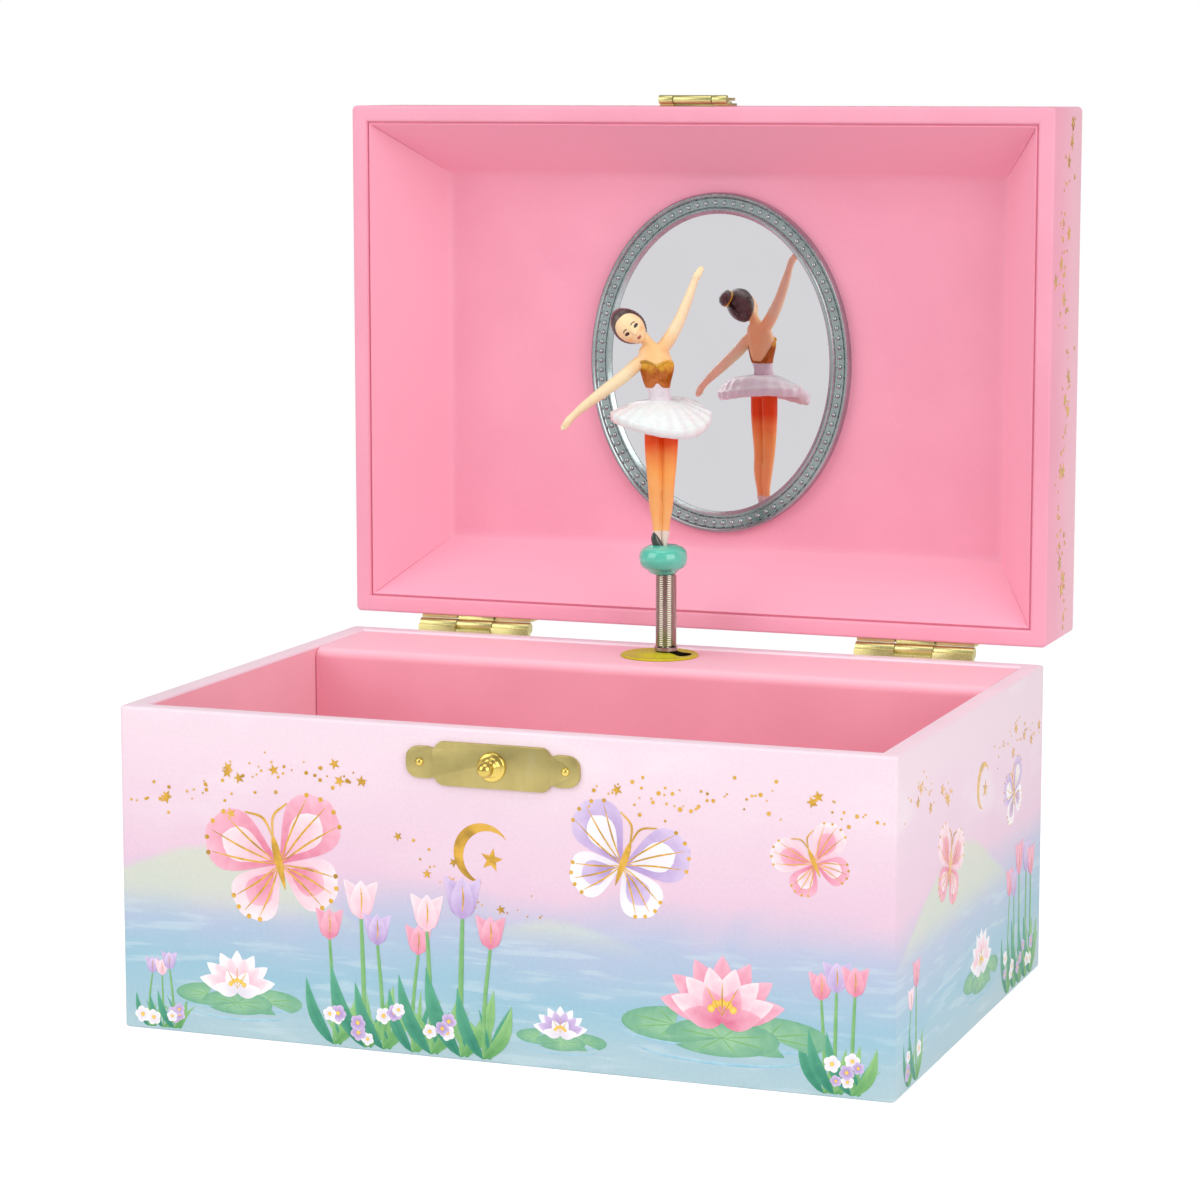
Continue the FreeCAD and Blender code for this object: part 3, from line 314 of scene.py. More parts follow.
@functools.cache
def printed_paper():
    """Satin printed wrap: a washed sky over water, with low hills, round all four walls."""
    f = Finish("printed_paper", Specular_IOR_Level=0.4)
    x, y, z = f.split(f.place)
    facing_side = f.split(f.facing)[0]
    front = BASE_LOW.y * MM
    around = f.sum("ADD", x, f.sum("MULTIPLY", facing_side, f.sum("SUBTRACT", y, front)))
    wash = f.noise(38, 4, twist=0.6)
    drift = f.sum("MULTIPLY", f.sum("SUBTRACT", wash, 0.5), 0.2)
    height = f.sum("DIVIDE", z, BASE_HIGH.z * MM)
    level = f.sum("ADD", height, drift)
    paint = f.ramp(
        level, (0.02, hue("shore")), (0.2, hue("water")), (0.4, hue("horizon")),
        (0.54, hue("dusk")), (0.9, hue("sky")),
    )
    cloud = f.span(f.noise(26, 3, (1, 1, 2.2)), 0.52, 0.72, 0, 0.55)
    above = f.span(height, 0.5, 0.75)
    paint = f.blend(f.sum("MULTIPLY", cloud, above), paint, paler(hue("sky"), 0.55))
    ridge = 0.3
    for middle, reach, rise in HILLS:
        near = f.sum("ABSOLUTE", f.sum("SUBTRACT", around, middle))
        ridge = f.sum("ADD", ridge, f.span(near, reach, 0, 0, rise))
    edge = f.sum("ADD", f.sum("SUBTRACT", ridge, height), f.sum("MULTIPLY", drift, 0.25))
    land = f.sum("MULTIPLY", f.span(edge, 0, 0.035), f.span(height, 0.34, 0.47))
    paint = f.blend(f.sum("MULTIPLY", land, 0.8), paint, hue("hill"))
    streaks = f.noise(70, 5, (1, 1, 9), 0.3)
    wet = f.sum("MULTIPLY", f.span(height, 0.46, 0.36), f.span(streaks, 0.52, 0.66, 0, 0.4))
    paint = f.blend(wet, paint, paler(hue("water"), 0.5))
    grain = f.noise(1500, 3)
    f.colour(f.speckle(0.1, paint, grain, (0.55, 0.5, 0.55, 1)))
    f.rough(f.span(grain, 0.3, 0.7, 0.36, 0.5))
    under = f.bump(f.noise(420, 2), 0.02, 0.5)
    f.bump(grain, 0.012, 0.5, under)
    return f.material


def paper(name, tint):
    """Plain coloured paper with a faint fibre and an uneven wash."""
    f = Finish(name, Specular_IOR_Level=0.35)
    wash = f.noise(45, 3)
    fibre = f.noise(1800, 4, (1, 1, 2.5), 0.4)
    tinted = f.ramp(wash, (0.3, darker(tint, 0.95)), (0.7, paler(tint, 0.035)))
    f.colour(f.speckle(0.08, tinted, fibre, (0.6, 0.5, 0.5, 1)))
    f.rough(f.span(fibre, 0.3, 0.7, 0.42, 0.56))
    under = f.bump(f.noise(240, 2), 0.03, 0.4)
    f.bump(fibre, 0.012, 0.6, under)
    return f


@functools.cache
def rim_paper():
    """The pale wrap where it turns over the rim."""
    return paper("rim_paper", paler(hue("sky"), 0.05)).material


@functools.cache
def lining_paper():
    """The lining on the inside of the walls, paler than on the partition."""
    return paper("lining_paper", paler(hue("lining"), 0.16)).material


@functools.cache
def liner_paper_lit_flaps():
    """Card paper with its sloped flaps painted paler than the flat panel between them, as painted light."""
    f = paper("liner_paper_lit_flaps", hue("liner"))
    # Painted light: the sloped flaps are painted paler to make up for the light that falls on them less.
    sloped = f.span(f.sum("ABSOLUTE", f.split(f.facing)[1]), 0.97, 0.6)
    f.colour(f.blend(sloped, f.base(), paler(hue("liner"), 0.09)))
    return f.material


@functools.cache
def lid_paper():
    """The lid's wrap, paler towards its top board."""
    f = paper("lid_paper", hue("lid"))
    edge = f.span(f.split(f.place)[1], LID_LOW.y * MM, LID_HIGH.y * MM, 0.0, 0.5)
    f.colour(f.blend(edge, f.base(), paler(hue("lid"), 0.45)))
    return f.material


@functools.cache
def ledge_paper_lit_top():
    """Lining paper with its flat top painted paler: painted light where more light falls on the ledge."""
    f = paper("ledge_paper_lit_top", hue("lining"))
    # Painted light: faces that look up are painted paler, as if lit more than the partition's front.
    flat = f.span(f.split(f.facing)[2], 0.15, 1.0)
    f.colour(f.blend(flat, f.base(), hue("ledge")))
    return f.material


@functools.cache
def flock():
    """Short velvety pile on the compartment's floor."""
    f = Finish("flock", Sheen_Weight=0.5, Sheen_Roughness=0.4, Specular_IOR_Level=0.15, Roughness=0.9)
    tint = hue("lining")
    pile = f.noise(3200, 2)
    brushed = f.ramp(f.noise(60, 3, twist=0.8), (0.35, darker(tint, 0.82)), (0.65, tint))
    tips = f.ramp(pile, (0.3, darker(tint, 0.6)), (0.7, paler(tint, 0.15)))
    f.colour(f.blend(0.35, brushed, tips))
    f.bump(pile, 0.12)
    return f.material


@functools.cache
def plain_board():
    """Grey board that shows only underneath."""
    f = Finish("plain_board", Specular_IOR_Level=0.2)
    flecks = f.noise(900, 6)
    f.colour(f.ramp(flecks, (0.3, fixed(176, 160, 140)), (0.7, fixed(214, 204, 188))))
    f.rough(f.span(flecks, 0.3, 0.7, 0.7, 0.9))
    f.bump(flecks, 0.05)
    return f.material


@functools.cache
def painted_hole_shade():
    """Near-black paint on the walls inside holes: painted shade."""
    f = Finish("painted_hole_shade", Specular_IOR_Level=0.1, Roughness=0.9)
    shade_mottle = f.noise(1100, 4)
    # Painted shade: the hole's wall is painted near black.
    f.colour(f.ramp(shade_mottle, (0.3, fixed(22, 17, 12)), (0.7, fixed(52, 42, 30))))
    f.bump(shade_mottle, 0.03)
    return f.material


def metal(name, tint, rough, grain, stain, stretch=None, bare=1.0):
    """Metal with a cloudy tarnish and a fine grain that breaks its gloss; bare is less under lacquer."""
    f = Finish(name, Metallic=bare, Specular_IOR_Level=0.5 * bare)
    cloud = f.noise(160, 4, twist=0.5)
    lines = f.noise(grain, 3, stretch)
    f.colour(f.ramp(cloud, (0.3, darker(tint, stain)), (0.62, tint), (0.85, paler(tint, 0.12))))
    f.rough(f.span(lines, 0.3, 0.7, *rough))
    f.bump(lines, 0.008, 0.6)
    return f.material


@functools.cache
def old_brass():
    """Pressed catch plate, dull and brushed upright."""
    return metal("old_brass", hue("old_brass"), (0.34, 0.5), grain=1400, stain=0.82, stretch=(1, 1, 14))


@functools.cache
def bright_brass():
    """Turned knob and nails, polished."""
    return metal(
        "bright_brass", hue("bright_brass"), (0.14, 0.28), grain=1800, stain=0.78, stretch=(6, 1, 1)
    )


@functools.cache
def hinge_brass():
    """Hinges and hasp, drawn along their length."""
    return metal("hinge_brass", hue("hinge_brass"), (0.26, 0.4), grain=1800, stain=0.82, stretch=(6, 1, 1))


@functools.cache
def rosette_brass():
    """Rosette under yellow lacquer."""
    return metal("rosette_brass", hue("rosette"), (0.26, 0.4), grain=900, stain=0.86, bare=0.15)


@functools.cache
def steel():
    """Drawn wire, shafts and screws."""
    return metal("steel", hue("steel"), (0.12, 0.22), grain=2600, stain=0.8, stretch=(1, 1, 8))


@functools.cache
def silver_plating():
    """Plated frame of the mirror."""
    return metal("silver_plating", hue("silver"), (0.16, 0.28), grain=1300, stain=0.85)


@functools.cache
def silvering():
    """Plated mirror with a trace of haze."""
    f = Finish("silvering", Metallic=1.0)
    haze = f.noise(70, 3)
    f.colour(f.ramp(haze, (0.3, darker(hue("mirror"), 0.985)), (0.7, hue("mirror"))))
    f.rough(f.span(haze, 0.35, 0.75, 0.012, 0.03))
    return f.material


def plastic(name, tint, rough, depth):
    """Glossy moulded plastic with faint flow marks."""
    f = Finish(name, Coat_Weight=0.8, Coat_Roughness=0.04, Subsurface_Weight=0.08, Subsurface_Scale=0.001)
    flow = f.noise(120, 3, (1, 1, 3), 0.8)
    f.colour(f.ramp(flow, (0.3, darker(tint, 1 - depth)), (0.72, paler(tint, 0.06))))
    f.rough(f.span(f.noise(900, 2), 0.35, 0.7, *rough))
    f.bump(f.noise(500, 2), 0.01, 0.5)
    return f.material


@functools.cache
def turquoise_plastic():
    """The bead."""
    return plastic("turquoise_plastic", hue("turquoise"), (0.12, 0.2), depth=0.12)


@functools.cache
def green_plastic():
    """The peg between the feet."""
    return plastic("green_plastic", hue("peg"), (0.16, 0.26), depth=0.25)


@functools.cache
def skirt_plastic():
    """White moulded skirt with fine rays in its gloss, darker by each point's tone as painted shade."""
    f = Finish(
        "skirt_plastic", Coat_Weight=0.15, Coat_Roughness=0.15, Specular_IOR_Level=0.3,
        Subsurface_Weight=0.15, Subsurface_Scale=0.001,
    )
    tint = hue("skirt")
    # Painted shade: a low tone darkens the skirt towards the waist, in its folds, down the rim and
    # underneath.
    f.colour(f.ramp(f.tone(), (0.0, darker(tint, 0.88)), (0.45, darker(tint, 0.97)), (1.0, tint)))
    mist = f.noise(700, 3)
    f.rough(f.span(mist, 0.3, 0.7, 0.2, 0.34))
    f.bump(mist, 0.02, 0.5)
    return f.material


def paint(name, tint, rough, depth=0.2, fleck=None, **sockets):
    """Brushed-on paint, thinner in places, with flecks of glitter if asked."""
    f = Finish(name, **sockets)
    strokes = f.noise(520, 4, twist=0.7)
    look = f.ramp(strokes, (0.3, darker(tint, 1 - depth)), (0.7, paler(tint, 0.05)))
    if fleck:
        glint = f.span(f.noise(4200, 1), 0.68, 0.76)
        look = f.blend(glint, look, fleck)
    f.colour(look)
    f.rough(f.span(strokes, 0.3, 0.7, *rough))
    f.bump(strokes, 0.02, 0.6)
    return f


def skin(name, pale):
    """Moulded skin, airbrushed from pale to warm by the tone of each point; the deepest tone is partly
    painted shadow.
    """
    f = Finish(name, Subsurface_Weight=0.12, Subsurface_Scale=0.001, Specular_IOR_Level=0.3)
    mottle = f.sum("MULTIPLY", f.sum("SUBTRACT", f.noise(350, 3), 0.5), 0.16)
    tan = f.sum("ADD", f.tone(), mottle)
    f.colour(f.ramp(tan, (0.05, pale), (0.5, hue("warm_skin")), (0.95, hue("deep_skin_and_skirt_shadow"))))
    f.rough(f.span(f.noise(800, 2), 0.3, 0.7, 0.3, 0.44))
    f.bump(f.noise(900, 2), 0.012, 0.5)
    return f.material


@functools.cache
def skin_paint():
    """Skin of the trunk, arms and legs."""
    return skin("skin_paint", hue("pale_skin"))


@functools.cache
def face_paint():
    """Skin of the head."""
    return skin("face_paint", hue("face"))


@functools.cache
def hair_paint():
    """Dark lacquer, thin between the combed strands."""
    f = paint("hair_paint", hue("hair"), (0.22, 0.4), depth=0.45, Coat_Weight=0.4, Coat_Roughness=0.22)
    return f.material


@functools.cache
def bodice_paint():
    """Bronze paint going gold along the neckline, partly a gold trim and partly a painted sheen."""
    f = paint("bodice_paint", hue("bodice"), (0.35, 0.55), 0.4, hue("foil"), Specular_IOR_Level=0.06)
    height = f.sum("ADD", f.split(f.place)[2], f.span(f.noise(700, 3), 0.3, 0.7, -0.0006, 0.0006))
    # Towards the neckline the paint turns gold: partly a gold trim, partly a painted sheen on the upper
    # bodice.
    edge = f.span(height, (TOE_LEVEL + 35.6) * MM, (TOE_LEVEL + 37.8) * MM, 0.0, 0.85)
    f.colour(f.blend(edge, f.base(), hue("foil")))
    return f.material


@functools.cache
def sash_paint():
    """Pale paint with white glitter."""
    return paint("sash_paint", hue("sash"), (0.3, 0.48), depth=0.14, fleck=WHITE).material


@functools.cache
def lip_paint():
    """Brick red of the lips."""
    return paint("lip_paint", fixed(176, 74, 58), (0.3, 0.45)).material


@functools.cache
def eye_paint():
    """Dark brown of the eyes."""
    return paint("eye_paint", fixed(40, 26, 22), (0.2, 0.35)).material


@functools.cache
def shoe_paint():
    """Cream of the shoes and of the lights in the eyes."""
    return paint("shoe_paint", fixed(240, 222, 208), (0.25, 0.4), depth=0.12).material


def ink(name, shadow, light):
    """Printed ink that runs from one colour to another by the tone of each point, like a wash."""
    f = Finish("ink_" + name, Specular_IOR_Level=0.4)
    wash = f.sum("MULTIPLY", f.sum("SUBTRACT", f.noise(420, 4, twist=0.6), 0.5), 0.7)
    run = f.sum("ADD", f.tone(), wash)
    f.colour(f.ramp(run, (0.05, fixed(*shadow)), (0.95, fixed(*light))))
    grain = f.noise(1500, 3)
    f.rough(f.span(grain, 0.3, 0.7, 0.38, 0.52))
    f.bump(grain, 0.012, 0.5)
    return f.material


@functools.cache
def gold_foil():
    """Hot-stamped foil, bright with darker creases."""
    f = Finish("gold_foil", Metallic=0.35)
    crease = f.noise(300, 3, twist=0.5)
    tint = hue("foil")
    f.colour(f.ramp(crease, (0.3, darker(tint, 0.55)), (0.55, tint), (0.8, paler(tint, 0.15))))
    f.rough(f.span(crease, 0.3, 0.7, 0.2, 0.34))
    f.bump(f.noise(1200, 2), 0.01, 0.6)
    return f.material


INK_LOOKS = {
    "white": ((232, 222, 236), (255, 253, 252)),
    "rose": ((226, 112, 146), (250, 190, 208)),
    "blush": ((244, 176, 198), (255, 236, 240)),
    "lilac": ((170, 138, 200), (226, 206, 238)),
    "leaf": ((92, 160, 92), (158, 206, 138)),
    "fern": ((44, 132, 108), (98, 178, 142)),
    "sun": ((240, 184, 60), (255, 228, 120)),
    "ripple": ((112, 176, 204), (206, 234, 242)),
    "pond": ((110, 172, 140), (170, 214, 170)),
}
INK_ORDER = [*INK_LOOKS, "foil"]


@functools.cache
def inks():
    """Every ink of the print, in the order of INK_ORDER."""
    return [ink(name, *INK_LOOKS[name]) for name in INK_LOOKS] + [gold_foil()]


class Shape:
    """Points in millimetres and the faces between them, gathered before they become a mesh."""

    def __init__(self):
        self.points, self.faces, self.finish, self.tones = [], [], [], []

    def add(self, points, faces, finish=0, tones=None):
        """More points and faces, with one finish for all of them or one for each face."""
        start = len(self.points)
        self.points += [Vector(p) for p in points]
        self.tones += list(tones) if tones else [0.5] * len(points)
        self.faces += [[start + i for i in face] for face in faces]
        self.finish += [finish] * len(faces) if isinstance(finish, int) else list(finish)
        return self

    def loft(self, rings, finish=0, looped=False, tones=None):
        """A skin over rings that have the same number of points, capped at both ends or joined up."""
        count, bands = len(rings[0]), len(rings) - (not looped)
        points = [p for ring in rings for p in ring]
        faces, finishes = [], []
        for band in range(bands):
            a, b = band * count, (band + 1) % len(rings) * count
            faces += [(a + i, a + (i + 1) % count, b + (i + 1) % count, b + i) for i in range(count)]
            finishes += [finish if isinstance(finish, int) else finish[band]] * count
        if not looped:
            faces += [range(count)[::-1], range(len(points) - count, len(points))]
            finishes += [finishes[0], finishes[-1]]
        return self.add(points, faces, finishes, tones)

    def turned(self, profile, centre, axis=UP, sides=40):
        """A body of revolution from pairs of radius and distance along the axis."""
        axis = Vector(axis).normalized()
        side = axis.orthogonal().normalized()
        other = axis.cross(side)
        rings = []
        for radius, along in profile:
            middle = Vector(centre) + axis * along
            spokes = [math.cos(a) * side + math.sin(a) * other for a in even_turns(sides)]
            rings.append([middle + radius * spoke for spoke in spokes])
        return self.loft(rings)

    def tube(self, path, radii, sides):
        """A round rod along a path, with a radius for each point."""
        path = [Vector(p) for p in path]
        side = (path[1] - path[0]).orthogonal().normalized()
        rings = []
        for i, middle in enumerate(path):
            ahead = (path[min(i + 1, len(path) - 1)] - path[max(i - 1, 0)]).normalized()
            side = (side - ahead * side.dot(ahead)).normalized()
            other = ahead.cross(side)
            spokes = [math.cos(a) * side + math.sin(a) * other for a in even_turns(sides)]
            rings.append([middle + radii[i] * spoke for spoke in spokes])
        return self.loft(rings)


def settle(obj, body, stands_for=()):
    """The piece moves with a body and stands for its solids."""
    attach(obj, body)
    if stands_for:
        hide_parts(*stands_for)


def placed(name, data):
    """A new object in the scene."""
    obj = bpy.data.objects.new(name, data)
    bpy.context.scene.collection.objects.link(obj)
    return obj


def smooth(mesh, crease):
    """Even shading that breaks only at edges sharper than the crease angle."""
    mesh.shade_smooth()
    mesh.set_sharp_from_angle(angle=math.radians(crease))


def raw_piece(name, shape, finishes, crease=32):
    """An object with the shape as its mesh, welded and facing outwards."""
    mesh = bpy.data.meshes.new(name)
    mesh.from_pydata([p * MM for p in shape.points], [], shape.faces)
    for material in finishes:
        mesh.materials.append(material)
    mesh.polygons.foreach_set("material_index", shape.finish)
    mesh.attributes.new("tone", "FLOAT", "POINT").data.foreach_set("value", shape.tones)
    bm = bmesh.new()
    bm.from_mesh(mesh)
    bmesh.ops.remove_doubles(bm, verts=bm.verts, dist=WELD)
    bmesh.ops.recalc_face_normals(bm, faces=bm.faces)
    bm.to_mesh(mesh)
    bm.free()
    smooth(mesh, crease)
    return placed(name, mesh)


def piece(name, shape, finishes, body, stands_for=(), crease=32):
    """An object made from a shape and settled on its body."""
    settle(raw_piece(name, shape, finishes, crease), body, stands_for)


def applied(obj, crease=32):
    """The object with its modifiers worked into its mesh."""
    view = bpy.context.evaluated_depsgraph_get()
    made = bpy.data.meshes.new_from_object(obj.evaluated_get(view))
    obj.modifiers.clear()
    obj.data = made
    smooth(made, crease)
    return obj


def drill(obj, centre, axis, radius, length):
    """Cuts a round hole through an object, with its wall painted near black as painted shade."""
    core = Shape().turned([(radius, 0), (radius, length)], centre, axis)
    bit = raw_piece("drill_bit", core, [painted_hole_shade()])
    cut = obj.modifiers.new("hole", "BOOLEAN")
    cut.object, cut.operation = bit, "DIFFERENCE"
    cut.solver, cut.material_mode = "EXACT", "TRANSFER"
    applied(obj)
    bpy.data.objects.remove(bit)


def softened(node, name, finish, body, width):
    """A solid with its sharp edges rounded, as a pressed or folded sheet has them."""
    crease = 32
    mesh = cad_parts[node].data.copy()
    mesh.name = name
    mesh.materials.clear()
    mesh.materials.append(finish)
    bm = bmesh.new()
    bm.from_mesh(mesh)
    bmesh.ops.remove_doubles(bm, verts=bm.verts, dist=WELD)
    bmesh.ops.dissolve_limit(bm, angle_limit=math.radians(1), verts=bm.verts, edges=bm.edges)
    sharp = [e for e in bm.edges if e.is_manifold and e.calc_face_angle() > math.radians(crease)]
    bmesh.ops.bevel(
        bm, geom=sharp, offset=width * MM, segments=2, profile=0.5, affect="EDGES", clamp_overlap=True
    )
    bmesh.ops.recalc_face_normals(bm, faces=bm.faces)
    for face in bm.faces:
        face.material_index = 0
    bm.to_mesh(mesh)
    bm.free()
    smooth(mesh, crease)
    settle(placed(name, mesh), body, (node,))


def dress(finish, *nodes):
    """Gives solids that keep their own shape a finish."""
    for node in nodes:
        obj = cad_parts[node]
        obj.data.materials.clear()
        obj.data.materials.append(finish)


def rounded_rectangle(half_x, half_y, radius, steps=6):
    """Points round a rectangle with round corners."""
    points = []
    for side_x, side_y, start in ((1, -1, -90), (1, 1, 0), (-1, 1, 90), (-1, -1, 180)):
        for i in range(steps + 1):
            a = math.radians(start + 90 * i / steps)
            x = side_x * (half_x - radius) + radius * math.cos(a)
            points.append((x, side_y * (half_y - radius) + radius * math.sin(a)))
    return points


def quarter(radius, steps=4):
    """Offsets along a quarter circle."""
    turns = [math.radians(90 * i / steps) for i in range(steps + 1)]
    return [(radius * math.cos(a), radius * math.sin(a)) for a in turns]


def through(points, steps=6):
    """A smooth run through rows of numbers, passing each of them."""
    rows = np.array(points, float)
    rows = np.vstack([2 * rows[0] - rows[1], rows, 2 * rows[-1] - rows[-2]])
    out = []
    for a, b, c, d in zip(rows, rows[1:], rows[2:], rows[3:]):
        for i in range(steps):
            t = i / steps
            bend = (2 * a - 5 * b + 4 * c - d) * t**2 + (3 * b - a - 3 * c + d) * t**3
            out.append((b + 0.5 * ((c - a) * t + bend)).tolist())
    return out + [rows[-2].tolist()]


def make_walls():
    """The four walls in one printed wrap that turns over the rim, with the key's hole behind."""
    high, wall = BASE_HIGH.z, ROOM_LOW.x - BASE_LOW.x
    rim, foot = sizes().rim_round, 0.4
    profile = [(foot - dx, foot - dy) for dx, dy in quarter(foot, 2)[::-1]]
    profile += [(rim - dx, high - rim + dy) for dx, dy in quarter(rim)]
    turned_in = len(profile) - 1
    profile += [(wall - rim + dx, high - rim + dy) for dx, dy in quarter(rim)[::-1]]
    lined = len(profile) - 1
    profile.append((wall, 0))
    rings = []
    for inset, z in profile:
        corner = max(sizes().corner_round - inset, LEAST_ROUND)
        outline = rounded_rectangle(BASE_HIGH.x - inset, BASE_HIGH.y - inset, corner)
        rings.append([(x, y, z) for x, y in outline])
    # The print stops short of the rim, where the pale wrap begins.
    bands = [0 if i < turned_in - 2 else 1 if i < lined else 2 for i in range(len(rings))]
    shape = Shape().loft(rings, bands, looped=True)
    walls = raw_piece("wall_wrap", shape, [printed_paper(), rim_paper(), lining_paper()], crease=40)
    arbor_low, arbor_high = corners("winding_arbor")
    play, past = 0.5, 1
    hole = Vector((0, ROOM_HIGH.y - past, (arbor_low.z + arbor_high.z) / 2))
    drill(walls, hole, BACKWARD, (arbor_high.x - arbor_low.x) / 2 + play, wall + 2 * past)
    settle(walls, "box_base", BASE_WALLS)


def make_compartment():
    """The floor board, its flocked lining, and the covered ledge with the partition under it."""
    dress(plain_board(), "base_floor")
    softened("compartment_lining", "floor_flock", flock(), "box_base", width=0.3)
    low, high = corners("compartment_partition", "dancer_ledge")
    back, under = corners("compartment_partition")[1].y, corners("dancer_ledge")[0].z
    soft, bevel, clear = sizes().ledge_round, sizes().lining_bevel, 0.02
    ends = ((low.x + clear, bevel), (low.x + bevel, 0), (high.x - bevel, 0), (high.x - clear, bevel))
    rings = []
    for x, sunk in ends:
        bend = [(low.y + soft - dx, high.z - soft + dy) for dx, dy in quarter(soft - sunk, 8)]
        outline = [(low.y + sunk, low.z), *bend, (high.y, high.z - sunk), (high.y, under)]
        rings.append([(x, y, z) for y, z in [*outline, (back, under), (back, low.z)]])
    cover = raw_piece("ledge_cover", Shape().loft(rings), [ledge_paper_lit_top()], crease=25)
    below, length = under - 1, high.z - under + 2
    drill(cover, (AXIS.x, AXIS.y, below), UP, SHAFT_HOLE, length)
    drill(cover, rosette_hole(below), UP, SIDE_HOLE, length)
    settle(cover, "box_base", ("compartment_partition", "dancer_ledge"))


def lid_ring(inset, depth, radius):
    """Points round the open lid at a distance in from its outside and a place along Y."""
    middle = (LID_LOW.z + LID_HIGH.z) / 2
    corner = max(radius - inset, LEAST_ROUND)
    outline = rounded_rectangle(LID_HIGH.x - inset, LID_HIGH.z - middle - inset, corner)
    return [(x, depth, middle + z) for x, z in outline]


def make_lid():
    """The lid's boards in one wrap, with a turned-over rim."""
    rim, corner = sizes().rim_round, sizes().corner_round
    wall = corners("lid_left")[1].x - LID_LOW.x
    inside = corners("lid_top")[0].y
    rings = [lid_ring(rim - dx, LID_HIGH.y - rim + dy, corner) for dx, dy in quarter(rim)[::-1]]
    rings += [lid_ring(rim - dx, LID_LOW.y + rim - dy, corner) for dx, dy in quarter(rim)]
    rings += [lid_ring(wall - rim + dx, LID_LOW.y + rim - dy, corner) for dx, dy in quarter(rim)[::-1]]
    rings.append(lid_ring(wall, inside, corner))
    shape = Shape().loft(rings)
    piece("lid_wrap", shape, [lid_paper()], "lid", LID_BOARDS, crease=40)


def make_liner():
    """The card tray inside the lid: sloped flaps with slits between them, set in from the lid's walls."""
    outer = LID_HIGH.x - LINER_HIGH.x
    inner = LID_HIGH.x - CEILING_HIGH.x
    front, floor, groove = LINER_LOW.y, CEILING_LOW.y, sizes().liner_groove
    # From the middle panel out to the lid's wall: inset, place along Y, corner radius and slit.
    rows = (
        (inner + 1.6, floor, 1.6, 0.0),
        (inner + 0.7, floor - 0.12, 1.6, 0.0),
        (inner - 0.05, floor - 0.6, 1.4, 0.1),
        (inner - 0.45, floor - 1.5, 1.0, 0.3),
        (outer + groove + 0.75, front + 1.6, 0.5, 0.5),
        (outer + groove + 0.28, front + 0.4, 0.3, 0.0),
        (outer + groove + 0.12, front + 0.05, 0.25, 0.0),
        (outer + groove, front + 0.15, 0.2, 0.0),
        (outer + groove * 0.8, front + 0.55, 0.2, 0.0),
        (outer, front + 0.65, 0.12, 0.0),
        (outer, LINER_HIGH.y - 0.02, 0.12, 0.0),
    )
    rings = []
    for inset, depth, bend, slit in rows:
        ring = [Vector(p) for p in lid_ring(inset, depth, inset + bend)]
        corner = len(ring) // 4
        for first in range(0, len(ring), corner):
            p, before, after = (ring[first + k] for k in (corner // 2, 0, corner - 1))
            p += (p - (before + after) / 2).normalized() * slit
        rings.append(ring)
    piece("lid_liner", Shape().loft(rings), [liner_paper_lit_flaps()], "lid", LINER_CARDS, crease=50)


def make_mirror():
    """The plated oval frame with its row of beads, round the mirror."""
    dress(silvering(), "mirror_glass")
    low, high = corners("mirror_frame")
    glass_low, glass_high = corners("mirror_glass")
    middle, half_x, half_z = (low.z + high.z) / 2, high.x, (high.z - low.z) / 2
    clear = 0.05
    rebate, lip, face = high.x - glass_high.x - clear, glass_low.y - clear, low.y
    # Across the frame from its rim to the glass: an outer roll, the bed of the beads and an inner roll.
    profile = [(0, high.y), (0, face + 0.7), (0.1, face + 0.28), (0.38, face + 0.03), (0.7, face + 0.02)]
    profile += [(0.98, face + 0.24), (1.1, face + 0.62), (1.3, face + 0.78), (3.0, face + 0.78)]
    profile += [(3.18, face + 0.55), (3.45, face + 0.3), (3.75, face + 0.3), (4.05, face + 0.62)]
    profile += [(4.5, face + 1.02), (4.5, lip), (rebate, lip), (rebate, high.y)]

    def on_oval(inset, depth, a):
        """A point at a distance in from the frame's rim."""
        return Vector(((half_x - inset) * math.cos(a), depth, middle + (half_z - inset) * math.sin(a)))

    rings = [[on_oval(inset, y, a) for inset, y in profile] for a in even_turns(144)]
    shape = Shape().loft(rings, looped=True)
    bead, bed, count = 0.54, 2.15, sizes().frame_beads
    fine = [*even_turns(2000), FULL_TURN]
    track = [on_oval(bed, 0, a) for a in fine]
    run = np.concatenate([[0], np.cumsum([(b - a).length for a, b in zip(track, track[1:])])])
    dome = [(bead * math.sin(t), -bead * math.cos(t)) for t in np.linspace(0, math.pi / 2, 5)]
    for k in range(count):
        a = float(np.interp(run[-1] * k / count, run, fine))
        shape.turned([*dome, (bead, 0.3)], on_oval(bed, face + 0.74, a), BACKWARD, sides=12)
    piece("mirror_surround", shape, [silver_plating()], "lid", ("mirror_frame",), crease=38)


def bar(shape, low, high, soft):
    """A straight bar along X with rounded edges, added to a shape."""
    middle, half = (low + high) / 2, (high - low) / 2
    rings = []
    for x, shrink in ((low.x, soft), (low.x + soft, 0), (high.x - soft, 0), (high.x, soft)):
        outline = rounded_rectangle(half.y - shrink, half.z - shrink, soft, 3)
        rings.append([(x, middle.y + y, middle.z + z) for y, z in outline])
    shape.loft(rings)


